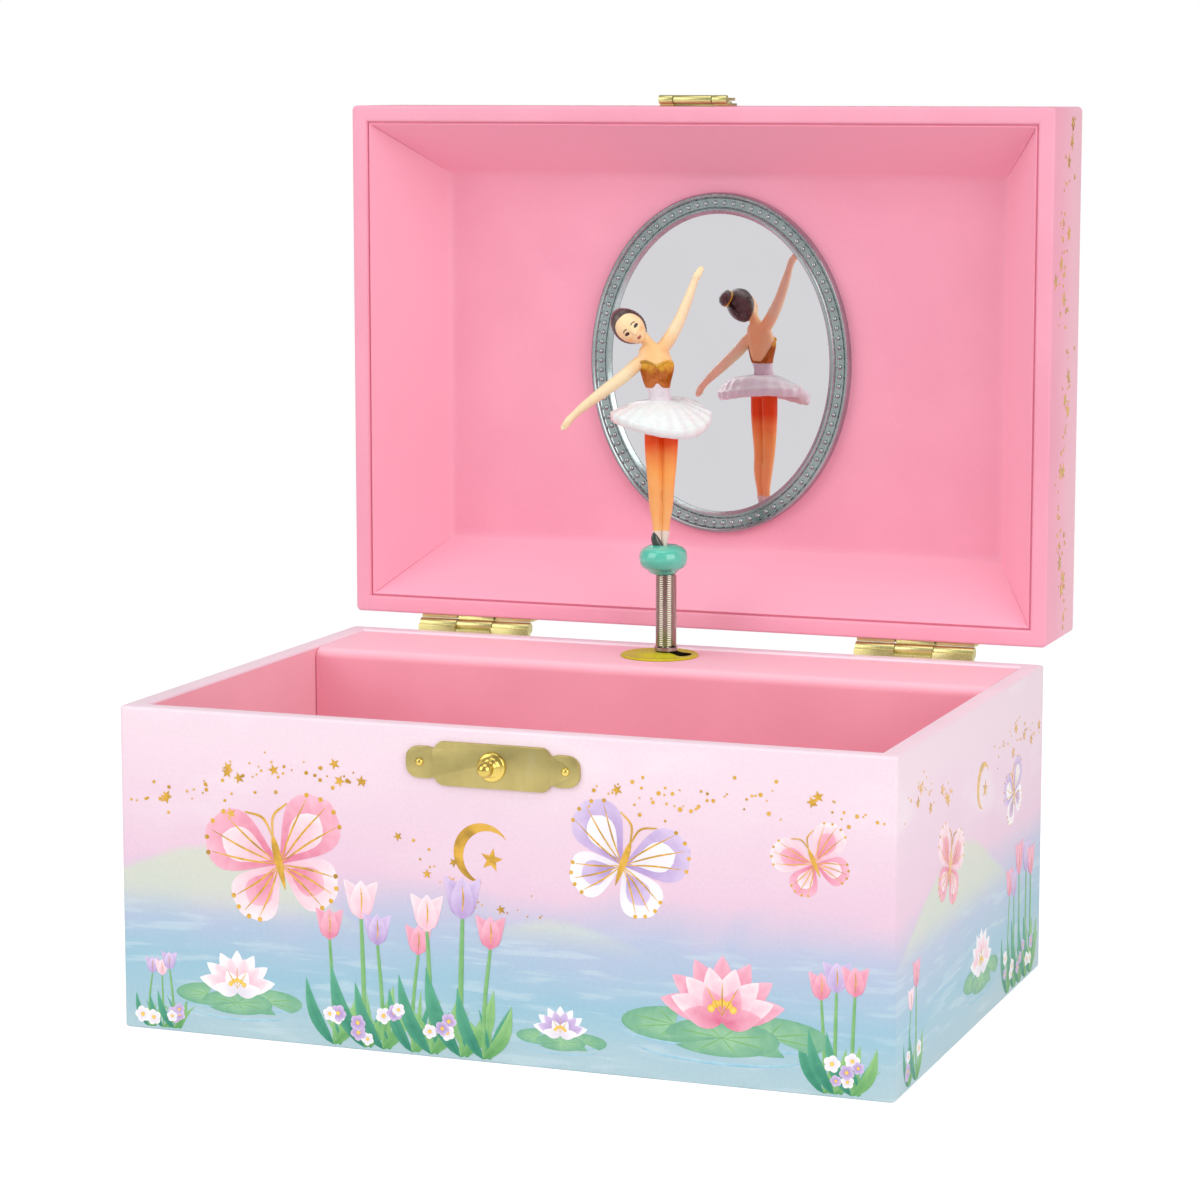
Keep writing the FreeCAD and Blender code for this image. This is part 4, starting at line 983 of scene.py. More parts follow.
def make_hinges():
    """Pressed hinges with rolled knuckles, the lips that close them on the barrel, pins and nails."""
    edge, brass = sizes().edge_soft, hinge_brass()
    lid_lips, base_lips = Shape(), Shape()
    pin_low, pin_high = corners("hinge_pins")
    pin_y, pin_z = (pin_low.y + pin_high.y) / 2, (pin_low.z + pin_high.z) / 2
    for side in ("left", "right"):
        lower, upper = f"hinge_{side}_base_leaf", f"hinge_{side}_lid_leaf"
        softened(lower, f"hinge_{side}_lower", brass, "box_base", edge)
        softened(upper, f"hinge_{side}_upper", brass, "lid", edge)
        low, high = corners(lower)
        barrel, third, gap = high.y - pin_y + 0.06, (high.x - low.x) / 3, 0.2
        for start in (low.x, low.x + 2 * third + gap):
            foot = Vector((start, pin_y + 0.1, pin_z + barrel))
            top = Vector((start + third - gap, high.y + 0.1, LID_LOW.z - 0.04))
            bar(lid_lips, foot, top, edge)
        foot = Vector((low.x + third + gap, BASE_HIGH.y + 0.04, BASE_HIGH.z - 1))
        top = Vector((low.x + 2 * third - gap, BASE_HIGH.y + 0.76, BASE_HIGH.z + 0.4))
        bar(base_lips, foot, top, edge)
    piece("hinge_lid_lips", lid_lips, [brass], "lid")
    piece("hinge_base_lips", base_lips, [brass], "box_base")
    dress(brass, "hinge_pins", "hinge_base_nails", "hinge_lid_nails")


def plate_face():
    """Where the catch plate's face lies along Y, and the height of its middle."""
    low, high = corners("latch_plate")
    return low.y, (low.z + high.z) / 2


def make_plate():
    """The pressed catch plate with its lobed ends."""
    low, high = corners("latch_plate")
    middle, half_x, half_z, edge = (low.z + high.z) / 2, 17, (high.z - low.z) / 2, sizes().edge_soft
    outline = [(half_x, 0), (half_x, 0.8), (16.8, 1.6), (16.3, 2.3), (15.6, 2.75), (14.8, 2.95)]
    outline += [(12.7, 3.0), (12.1, 2.8), (11.6, 2.68), (11.25, 2.9), (10.95, 3.4), (10.5, 3.8)]
    outline += [(10.0, half_z - 0.05), (9.5, half_z)]
    outline += [(-x, z) for x, z in outline[::-1]]
    outline += [(x, -z) for x, z in outline[::-1]]
    rings = []
    for y, shrink in ((high.y, 0), (low.y + edge, 0), (low.y + edge * 0.3, edge * 0.3), (low.y, edge)):
        across, up = 1 - shrink / half_x, 1 - shrink / half_z
        rings.append([(x * across, y, middle + z * up) for x, z in outline])
    shape = Shape().loft(rings)
    piece("latch_pressing", shape, [old_brass()], "box_base", ("latch_plate",), crease=40)


def make_knob():
    """The turned knob: a rivet through the plate, a stepped foot, a waist and a ball."""
    face, middle = plate_face()
    reach, ball, waist = face - corners("latch_knob")[0].y, 1.5, 0.9
    profile = [(0, -1.2), (0.8, -1.2), (0.8, 0), (2.75, 0), (2.75, 0.35), (2.62, 0.58), (2.35, 0.72)]
    profile += [(1.9, 0.78), (1.75, 0.95), (1.5, 1.15), (1.05, 1.35), (waist, 1.6)]
    profile.append((waist, reach - 2 * ball + 0.35))
    for t in np.linspace(0.75, math.pi, 10):
        profile.append((ball * math.sin(t), reach - ball - ball * math.cos(t)))
    shape = Shape().turned(profile, (0, face, middle), FORWARD)
    piece(
        "latch_knob_turned", shape, [bright_brass()], "box_base", ("latch_knob",), crease=40
    )


def make_nail_heads():
    """The two domed nails of the catch plate."""
    face, middle = plate_face()
    low, high = corners("latch_nails")
    head, rise, shank = (high.z - low.z) / 2 * 0.82, 0.62, 0.4
    dome = [(head * math.sin(t), rise * math.cos(t)) for t in np.linspace(math.pi / 2, 0, 6)]
    nails = Shape()
    for x in (low.x + head, high.x - head):
        nails.turned([(shank, low.y - high.y), (shank, 0), *dome], (x, face, middle), FORWARD, sides=24)
    piece(
        "latch_nail_heads", nails, [bright_brass()], "box_base", ("latch_nails",), crease=40
    )


def make_hasp():
    """The hasp on the lid: its leaf, tongue, pin and nails."""
    edge, brass = sizes().edge_soft, hinge_brass()
    dress(brass, "hasp_nails", "hasp_pin")
    softened("hasp_leaf", "hasp_pressing", brass, "lid", edge)
    softened("hasp_flap", "hasp_tongue", brass, "hasp", edge)


def rosette_hole(z):
    """Middle of the second hole, beside the spring's foot."""
    away = SIDE_HOLE_AWAY
    return AXIS.x + away * math.cos(FIGURE_TURN), AXIS.y + away * math.sin(FIGURE_TURN), z


def make_rosette():
    """The pressed rosette on the ledge, with the spring's seat and a second hole beside it."""
    low, high = corners("ledge_rosette")
    rim, dome, middle = high.x, 4.6, AXIS.x + ROSETTE_SHIFT
    profile = [(0.3, 0), (rim - 0.15, 0), (rim, 0.12), (rim, 0.28), (rim - 0.2, 0.46), (rim - 0.6, 0.5)]
    profile += [(rim - 1.0, 0.4), (dome + 1.0, 0.34), (dome + 0.4, 0.4), (dome, 0.55)]
    profile += [(dome - 0.4, 0.74), (dome - 1.2, 0.9), (2.6, 0.98), (2.0, 1.0), (0.3, 1.0)]
    rings = []
    for a in even_turns(64):
        rings.append([(middle + r * math.cos(a), AXIS.y + r * math.sin(a), low.z + z) for r, z in profile])
    pressing = raw_piece("rosette_pressing", Shape().loft(rings, looped=True), [rosette_brass()], crease=45)
    below, length = low.z - 1, 3
    drill(pressing, (AXIS.x, AXIS.y, below), UP, SPRING_SEAT, length)
    drill(pressing, rosette_hole(below), UP, SIDE_HOLE, length)
    settle(pressing, "box_base", ("ledge_rosette",))


def make_coil():
    """The close-wound spring that stands on the rosette."""
    wire, pitch, outer = sizes().coil_wire / 2, sizes().coil_pitch, 2.15
    section = [(-0.3, wire), (-0.055, wire), (0, 0), (-0.055, -wire), (-0.3, -wire)]
    turns, steps = (SPRING_HIGH.z - SPRING_LOW.z - 2 * wire) / pitch, 30
    rings = []
    for i in range(int(turns * steps) + 1):
        a, rise = FULL_TURN * i / steps, SPRING_LOW.z + wire + pitch * i / steps
        spoke = Vector((math.cos(a), math.sin(a), 0))
        rings.append([Vector((AXIS.x, AXIS.y, rise + dz)) + spoke * (outer + dr) for dr, dz in section])
    coil = raw_piece("spring_coil", Shape().loft(rings), [steel()], crease=25)
    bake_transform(coil)
    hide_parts("dancer_spring")


def make_bead():
    """The turned plastic bead on top of the spring."""
    low, high = corners("dancer_stand")
    radius, height, belly_x, belly_z = high.x - AXIS.x, high.z - low.z, 1.6, 2.3
    profile = [(0.9, 0), (2.3, 0), (2.7, 0.18), (3.0, 0.5)]
    for t in np.linspace(-1.35, 1.35, 15):
        out, rise = radius - belly_x + belly_x * math.cos(t), height / 2 + 0.35 + belly_z * math.sin(t)
        profile.append((out, rise))
    profile += [(2.9, height - 0.03), (1.9, height), (0.9, height)]
    middle = AXIS + BEAD_SHIFT * Vector((math.cos(FIGURE_TURN), math.sin(FIGURE_TURN), 0))
    shape = Shape().turned(profile, (middle.x, middle.y, low.z), sides=56)
    finishes, slot = [turquoise_plastic()], "turquoise_plastic"
    piece("stand_bead", shape, finishes, "dancer", ("dancer_stand",), crease=45)


def make_peg():
    """The leaning peg that holds the feet; its stem stays on the shaft."""
    foot = corners("stand_peg")[0].z - TOE_LEVEL
    # Height above the toes, place to the side and to the front, and radius.
    rows = (
        (foot, -FIGURE_SHIFT, 0, 0.85), (-1.2, -FIGURE_SHIFT, 0, 0.85), (-0.2, 0.1, 0.3, 1.0),
        (0.5, -0.55, 0.6, 1.1), (1.4, -1.0, 0.75, 1.0), (2.4, -1.25, 0.8, 0.7), (3.2, -1.4, 0.8, 0.14),
    )
    flat = 0.7
    rings = []
    for h, s, f, radius in through(rows):
        spokes = [(radius * math.cos(a), flat * radius * math.sin(a)) for a in even_turns(20)]
        rings.append([stance(s + ds, f + df, h) for ds, df in spokes])
    shape = Shape().loft(rings)
    piece("peg_turned", shape, [green_plastic()], "dancer", ("stand_peg",), crease=45)


def make_key():
    """The butterfly winding key behind the box."""
    softened("winding_key", "key_pressing", bright_brass(), "winder", width=0.3)
    dress(steel(), "winding_arbor")


def make_movement():
    """Finishes of the movement under the ledge."""
    dress(old_brass(), "bedplate", "spring_cup", "lower_bearing", "upper_bearing")
    dress(old_brass(), "comb_bridge", "governor_frame")
    dress(bright_brass(), "main_gear", "cylinder_gear", "music_cylinder", "worm_wheel", "governor_arbor")
    dress(steel(), "mainspring", "music_comb", "drive_shaft", "worm_shaft", "movement_screws")
    dress(silver_plating(), "governor_fan")


# The figure's rows are in millimetres from the toes: up, aside, to the front, half width and half depth.
TORSO = through([
    (25.0, 0.0, 0.0, 3.0, 2.4), (28.0, 0.0, 0.0, 2.9, 2.3), (31.2, -0.3, 0.0, 1.95, 1.75),
    (33.4, -0.8, 0.05, 2.5, 2.0), (36.6, -0.9, 0.1, 3.3, 2.3), (38.6, -1.2, 0.0, 3.3, 2.05),
    (40.2, -1.7, -0.1, 2.9, 1.6), (41.2, -2.1, -0.1, 1.8, 1.3), (42.0, -2.5, 0.0, 1.15, 1.1),
])

# Limbs: aside, to the front, up and radius.
LEFT_LEG = [
    (-1.6, 0.0, 26.0, 1.8), (-1.65, 0.1, 21.0, 1.72), (-1.5, 0.25, 16.0, 1.5), (-1.35, 0.25, 12.2, 1.3),
    (-1.2, -0.15, 8.8, 1.22), (-0.95, -0.05, 5.2, 0.9), (-0.8, 0.15, 3.0, 0.78), (-0.62, 0.4, 0.9, 0.5),
    (-0.6, 0.45, 0.1, 0.34),
]
RIGHT_LEG = [(0.1 - s, f - 0.35, h, r) for s, f, h, r in LEFT_LEG]
HELD_OUT_ARM = [
    (-2.2, 0.0, 39.0, 1.4), (-4.6, 0.1, 37.6, 1.4), (-8.0, 0.4, 34.7, 1.34), (-12.0, 0.7, 31.7, 1.2),
    (-15.4, 0.8, 29.1, 0.98), (-17.4, 0.8, 27.4, 0.78), (-18.9, 0.9, 25.9, 0.8), (-19.6, 1.0, 24.9, 0.6),
]
RAISED_ARM = [
    (-0.8, 0.0, 39.4, 1.4), (0.8, 0.0, 41.4, 1.4), (2.4, 0.1, 43.9, 1.34), (3.9, 0.2, 46.9, 1.18),
    (5.4, 0.3, 50.7, 1.0), (6.6, 0.3, 54.0, 0.76), (7.1, 0.3, 55.3, 0.8), (7.5, 0.35, 56.1, 0.6),
]
NECK = [(-1.8, -0.1, 40.0, 1.3), (-2.7, 0.0, 41.7, 1.15), (-4.2, 0.1, 43.6, 1.12)]

# The head: its middle in the same order, and half its width, depth and height before it tilts.
HEAD_MIDDLE = (-6.4, 0.35, 44.9)
HEAD_HALF = (2.9, 3.2, 4.1)

# Fingers and thumb: place across the palm, length, and share of that place at the root.
FINGERS = ((-0.42, 1.9, 1.0), (-0.14, 2.35, 1.0), (0.14, 2.3, 1.0), (0.42, 1.9, 1.0), (0.75, 1.1, 0.7))


def figure_piece(name, shape, finish, crease=60):
    """A piece of the painted figure that has no solid of its own."""
    piece(name, shape, [finish], "dancer", crease=crease)


def stance(side, front, height):
    """A place on the figure: to its side, towards its front and up from its toes."""
    c, s = math.cos(FIGURE_TURN), math.sin(FIGURE_TURN)
    side += FIGURE_SHIFT
    return Vector((AXIS.x + side * c + front * s, AXIS.y + side * s - front * c, TOE_LEVEL + height))


def swell(across, up=0.0):
    """A soft hump: 1 in its middle, falling off with both distances."""
    return math.exp(-(across**2) - up**2)


def torso_point(turn, height, grow=0.0):
    """A point on the trunk; a quarter turn is its front."""
    rows = np.array(TORSO)
    side, front, wide, deep = (float(np.interp(height, rows[:, 0], rows[:, k])) for k in range(1, 5))
    across, ahead = math.cos(turn), math.sin(turn)
    s, f = (wide + grow) * across, (deep + grow) * ahead
    if ahead > 0:
        rise = (height - 36.7) / 1.35
        f += sum(0.8 * swell((s - bust) / 0.95, rise) for bust in (-1.35, 1.35)) * ahead
    return stance(side + s, front + f, height)


def limb(shape, points):
    """A rounded limb through its rows, added to a shape."""
    run = through(points, 5)
    shape.tube([stance(*p[:3]) for p in run], [p[3] for p in run], sides=14)


def fingers(shape, palm, ahead, spread):
    """Four fingers and a thumb that leave the palm together."""
    palm, ahead, spread = Vector(palm), Vector(ahead).normalized(), Vector(spread).normalized()
    for offset, reach, share in FINGERS:
        root = palm + spread * offset * share
        tip = root + ahead * reach + spread * (offset * 0.3)
        middle = (root + tip) / 2 + Vector((0, 0.12, 0))
        shape.tube([stance(*p) for p in (root, middle, tip)], [0.32, 0.26, 0.15], sides=8)


def melted(obj, voxel, rounds):
    """Overlapping lumps fused into one even skin."""
    fuse = obj.modifiers.new("fuse", "REMESH")
    fuse.mode, fuse.voxel_size = "VOXEL", voxel * MM
    ease = obj.modifiers.new("ease", "SMOOTH")
    ease.factor, ease.iterations = 0.5, rounds
    return applied(obj, crease=60)


def tan(place):
    """How warm the skin is above the toes: deep on the legs, deepest as painted skirt shadow, pale towards
    the hands.
    """
    side = place.x * math.cos(FIGURE_TURN) + place.y * math.sin(FIGURE_TURN)
    if place.z < 28 and side > -6:
        # Just under the skirt the tone climbs to the deepest: painted shadow of the skirt over the legs'
        # orange.
        return float(np.interp(place.z, (2, 10, 15, 19, 22), (0.4, 0.43, 0.49, 0.7, 1.0)))
    arm = min(max(abs(side + 1.2) - 1.6, 0) / 5, 1) + max(place.z - 42, 0) / 5
    return 0.32 - 0.3 * min(arm, 1)


def make_body():
    """Trunk, neck, arms and legs in one moulded skin."""
    shape = Shape()
    heights = np.linspace(25.2, 41.9, 40)
    shape.loft([[torso_point(turn, h) for turn in even_turns(40)] for h in heights])
    for points in (LEFT_LEG, RIGHT_LEG, HELD_OUT_ARM, RAISED_ARM, NECK):
        limb(shape, points)
    fingers(shape, HELD_OUT_ARM[-2][:3], (-0.8, 0.15, -1.1), (0.7, 0.4, -0.5))
    fingers(shape, RAISED_ARM[-2][:3], (0.62, 0.1, 1), (1, 0.3, -0.5))
    body = melted(raw_piece("dancer_skin", shape, [skin_paint()]), voxel=0.17, rounds=5)
    tones = body.data.attributes.get("tone") or body.data.attributes.new("tone", "FLOAT", "POINT")
    toes = stance(0, 0, 0)
    tones.data.foreach_set("value", [tan(vertex.co / MM - toes) for vertex in body.data.vertices])
    settle(body, "dancer", ("dancer_figure",))


def head_surface(x, y, z, grow=0.0):
    """The head's skin in a unit direction: right, front and up, in the head's own millimetres."""
    p = Vector((x * HEAD_HALF[0], y * HEAD_HALF[1], z * HEAD_HALF[2]))
    if z < 0:
        p.x *= 1 - 0.34 * (-z) ** 1.7
        p.y *= 1 - 0.12 * z * z
    out = 0.0
    if y > 0:
        nose = float(np.interp(p.z, (-2.05, -1.85, -1.6, -0.9, 0.2), (0, 0.62, 1, 0.5, 0)))
        lips = swell((p.z + 2.52) / 0.18) + 0.9 * swell((p.z + 2.86) / 0.19)
        chin = swell(p.x / 0.75, (p.z + 3.5) / 0.45)
        sockets = swell((abs(p.x) - 1.25) / 0.6, (p.z + 0.55) / 0.45)
        cheeks = swell((abs(p.x) - 1.6) / 0.7, (p.z + 1.75) / 0.65)
        out += 0.62 * nose * swell(p.x / 0.42)
        out += 0.17 * lips * swell(p.x / 0.6)
        out += 0.25 * chin
        out -= 0.24 * sockets
        out += 0.16 * cheeks
    return p * (1 + grow / p.length) + Vector((0, out * y, 0))


def head_place(p):
    """A place in the head's own millimetres, carried to the tilted head."""
    c, s = math.cos(sizes().head_tilt), math.sin(sizes().head_tilt)
    side, front, height = HEAD_MIDDLE
    return stance(side + p.x * c - p.z * s, front + p.y, height + p.x * s + p.z * c)


def on_head(away, turn, grow=0.0):
    """A point on the head by its angle from the back of the head and its turn about that line."""
    x, z = math.sin(away) * math.cos(turn), math.sin(away) * math.sin(turn)
    return head_surface(x, -math.cos(away), z, grow)


def hairline(turn):
    """How far the hair reaches forward from the back of the head."""
    rise = math.sin(turn)
    return math.radians(103 + 32 * max(rise, 0) ** 1.3 - 34 * max(-rise, 0) ** 1.5)


def head_shape():
    """The upright head with a warmer tone on its cheeks and chin, in its own millimetres."""
    columns, rows = 88, 64
    rings, tones = [], []
    for r in range(rows + 1):
        lat = math.pi * (r / rows - 0.5)
        ring = []
        for lon in even_turns(columns):
            p = head_surface(math.cos(lat) * math.cos(lon), math.cos(lat) * math.sin(lon), math.sin(lat))
            cheek = swell((abs(p.x) - 1.6) / 0.6, (p.z + 1.7) / 0.6) if p.y > 0 else 0
            ring.append(p)
            tones.append(0.03 + 0.3 * cheek + 0.3 * max(-p.z - 3.0, 0))
        rings.append(ring)
    return Shape().loft(rings, tones=tones)


def make_head():
    """The moulded head."""
    local = head_shape()
    head = Shape().add([head_place(p) for p in local.points], local.faces, 0, local.tones)
    figure_piece("dancer_head", head, face_paint(), crease=70)


def almond(cx, cz, wide, high, lean):
    """The outline of an eye or a lip, seen from the front."""
    c, s = math.cos(lean), math.sin(lean)
    points = []
    for a in even_turns(18):
        x, z = wide * math.cos(a), high * math.sin(a) * (1 if math.sin(a) > 0 else 0.7)
        points.append((cx + x * c - z * s, cz + x * s + z * c))
    return points


def brow(side):
    """The outline of an arched brow, seen from the front."""
    thick = 0.19
    upper = []
    for t in np.linspace(0, 1, 7):
        upper.append((side * (0.55 + 1.1 * t), 0.12 + 0.42 * math.sin(math.pi * (0.25 + 0.6 * t))))
    return upper + [(x, z - thick) for x, z in upper[::-1]]


def make_face():
    """The painted eyes, brows and lips."""
    local, before = head_shape(), 9
    tree = BVHTree.FromPolygons(local.points, local.faces)

    def painted(name, outlines, finish):
        """Patches of paint laid on the face from outlines seen from the front."""
        shape = Shape()
        for outline in outlines:
            middle = sum((Vector(p) for p in outline), Vector((0, 0))) / len(outline)
            layers = []
            for lift, share in ((-0.05, 1.0), (0.012, 1.0), (0.03, 0.85), (0.04, 0.4)):
                layer = []
                for p in outline:
                    q = middle + (Vector(p) - middle) * share
                    hit = tree.ray_cast(Vector((q.x, before, q.y)), Vector((0, -1, 0)))
                    layer.append(head_place(hit[0] + Vector((0, lift, 0))))
                layers.append(layer)
            shape.loft(layers)
        figure_piece(name, shape, finish)

    both, away = (-1, 1), 1.25
    painted("dancer_eyes", [almond(s * away, -0.5, 0.54, 0.4, s * 0.12) for s in both], eye_paint())
    # The small cream spots in the eyes are painted highlights.
    lights = [almond(s * away + 0.12, -0.38, 0.1, 0.1, 0) for s in both]
    painted("dancer_eye_lights", lights, shoe_paint())
    painted("dancer_brows", [brow(s) for s in both], hair_paint())
    lips = [almond(0, -2.54, 0.6, 0.16, 0), almond(0, -2.82, 0.48, 0.18, 0)]
    painted("dancer_lips", lips, lip_paint())


def make_hair():
    """The combed hair with its bun, and the gold band round the bun."""
    hair, loops = Shape(), []
    for turn in even_turns(120):
        edge, thick = hairline(turn), 0.34 + 0.05 * math.cos(turn * 40)
        outer = []
        for t in np.linspace(0.02, 1, 18):
            outer.append(on_head(edge * t, turn, thick * min(1, (1 - t) * 9) + 0.03))
        inner = [on_head(edge * t, turn, -0.12) for t in (1, 0.5, 0.02)]
        loops.append([head_place(p) for p in outer + inner])
    hair.loft(loops, looped=True)
    bun_away, bun_turn = math.radians(30), math.radians(90)
    root = on_head(bun_away, bun_turn, 0.2)
    middle = head_place(root)
    ahead = (head_place(root * 1.2) - middle).normalized()
    side = ahead.orthogonal().normalized()
    other = ahead.cross(side)
    swirl = []
    for t in np.linspace(0, math.pi, 15):
        level = middle + ahead * (1.0 - 1.25 * math.cos(t))
        ring = []
        for a in even_turns(48):
            radius = (1.85 + 0.07 * math.cos(5 * a + 7 * t)) * math.sin(t)
            ring.append(level + radius * (math.cos(a) * side + math.sin(a) * other))
        swirl.append(ring)
    hair.loft(swirl)
    figure_piece("dancer_hair", hair, hair_paint())
    band = []
    for a in even_turns(40):
        spoke = math.cos(a) * side + math.sin(a) * other
        ring = []
        for b in even_turns(8):
            level = middle + ahead * (0.42 + 0.2 * math.sin(b))
            ring.append(level + spoke * (1.72 + 0.22 * math.cos(b)))
        band.append(ring)
    figure_piece("hair_band", Shape().loft(band, looped=True), gold_foil())


def bodice_top(turn):
    """The neckline: a heart at the front, low at the back."""
    off = abs(math.degrees(math.atan2(math.cos(turn), math.sin(turn))))
    if off < 42:
        return 37.25 + 0.95 * math.sin(math.radians(off / 42 * 90))
    fall = min(max((off - 80) / 80, 0), 1)
    return 38.2 - 0.5 * min((off - 42) / 40, 1) - 4.6 * fall * fall * (3 - 2 * fall)


def bodice_foot(turn):
    """The lower edge, cut up to a point in front."""
    off = math.degrees(math.atan2(math.cos(turn), math.sin(turn)))
    return 32.7 + swell(off / 16)


def sash_foot(turn):
    """The sash's lower edge, level under the skirt."""
    return 29.6


def sash_top(turn):
    """The sash's upper edge, tucked under the bodice."""
    return bodice_foot(turn) + 0.4


def wrap_shell(name, finish, foot, top, thick, folds=0, fold_depth=0.0):
    """A close-fitting shell round the trunk between two edges."""
    loops = []
    for turn in even_turns(96):
        low, high = foot(turn), top(turn)
        pleat = fold_depth * math.cos(folds * turn)
        outer = [torso_point(turn, low + (high - low) * t, thick + pleat) for t in np.linspace(0, 1, 12)]
        inner = [torso_point(turn, low + (high - low) * t, 0.02) for t in (1, 0.5, 0)]
        loops.append(outer + inner)
    figure_piece(name, Shape().loft(loops, looped=True), finish)


def make_dress():
    """The painted bodice with its lace, the sash below it, and the shoes."""
    wrap_shell("dancer_bodice", bodice_paint(), bodice_foot, bodice_top, thick=0.2)
    wrap_shell("dancer_sash", sash_paint(), sash_foot, sash_top, thick=0.13, folds=26, fold_depth=0.05)
    lace, bead = Shape(), 0.34
    dome = [(bead * math.sin(t), bead * math.cos(t)) for t in np.linspace(math.pi, 0, 7)]
    for turn in np.linspace(math.radians(28), math.radians(152), 17):
        lace.turned(dome, torso_point(turn, bodice_top(turn) - 0.1, 0.2), UP, sides=10)
    figure_piece("bodice_lace", lace, gold_foil())
    for name, points in (("left", LEFT_LEG), ("right", RIGHT_LEG)):
        run = through([(s, f, h, r + 0.13) for s, f, h, r in points[-4:]], 6)[5:]
        shoe = Shape().tube([stance(*p[:3]) for p in run], [p[3] for p in run], sides=20)
        figure_piece(f"dancer_shoe_{name}", shoe, shoe_paint())


def make_skirt():
    """The moulded skirt: a thick disc with shallow folds, drooping in front and lifted behind."""
    high = corners("dancer_tutu")[1]
    reach, crown, thick, root = high.x - AXIS.x - 0.15, high.z - TOE_LEVEL - 0.25, 2.0, 2.05
    # The rim's roll: in from the edge, down in half thicknesses, and tone, lower down the roll as painted
    # shade.
    roll = ((0.15, 0.1, 0.97), (0.02, 0.4, 0.95), (0, 1.0, 0.85), (0.1, 1.6, 0.7), (0.4, 2.0, 0.5))
    loops, tones = [], []
    for turn in even_turns(220):
        fall = 2.2 + 2.5 * math.sin(turn) + 0.8 * math.sin(2 * turn)
        frill = 2.9 * max(-math.sin(turn), 0) ** 0.7
        ruffle = math.cos(sizes().skirt_folds * turn + 0.7 * math.sin(3 * turn))
        edge = reach + 0.1 * ruffle
        span = edge - 0.45 - root
        rows = []
        for t in np.linspace(0, 1, 18):
            level = crown - fall * (0.3 * t + 0.7 * t**1.8) - frill * t**7
            # Painted shade: the tone is lower towards the waist and in the hollows of the folds.
            tone = 0.6 + 0.35 * t + 0.06 * ruffle * t
            rows.append((root + span * t, level + 0.045 * ruffle * t * t, tone))
        rim = rows[-1][1]
        rows += [(edge - out, rim - down * thick / 2, tone) for out, down, tone in roll]
        for t in np.linspace(0.9, 0, 8):
            level = crown - fall * (0.3 * t + 0.7 * t**1.8) - frill * t**7 - thick * (0.4 + 0.6 * t)
            # Painted shade: the underside carries a low tone.
            rows.append((root + span * t, level - 0.1 * ruffle * t * t, 0.2))
        loops.append([stance(r * math.cos(turn), r * math.sin(turn), h) for r, h, tone in rows])
        tones += [tone for r, h, tone in rows]
    shape = Shape().loft(loops, looped=True, tones=tones)
    piece("skirt_moulding", shape, [skirt_plastic()], "dancer", ("dancer_tutu",), crease=70)


def polar(reach, degrees):
    """A step across a flat face: its length and its direction."""
    return Vector((reach * math.cos(math.radians(degrees)), reach * math.sin(math.radians(degrees))))


def flattened(p, share):
    """A step with less rise, as on a disc seen at a slant."""
    return Vector((p.x, p.y * share))


# The print keeps these distances from the sides, the foot and the top of its face, in millimetres.
SIDE_MARGIN, FOOT_MARGIN, TOP_MARGIN = 1.2, 0.6, 0.8

# Layers of ink: the pictures lie over the clouds, and the foil dots on top in a run of layers.
CLOUD_LAYER, PICTURE_LAYER, DOT_LAYER, DOT_LAYERS = 0, 10, 30, 36


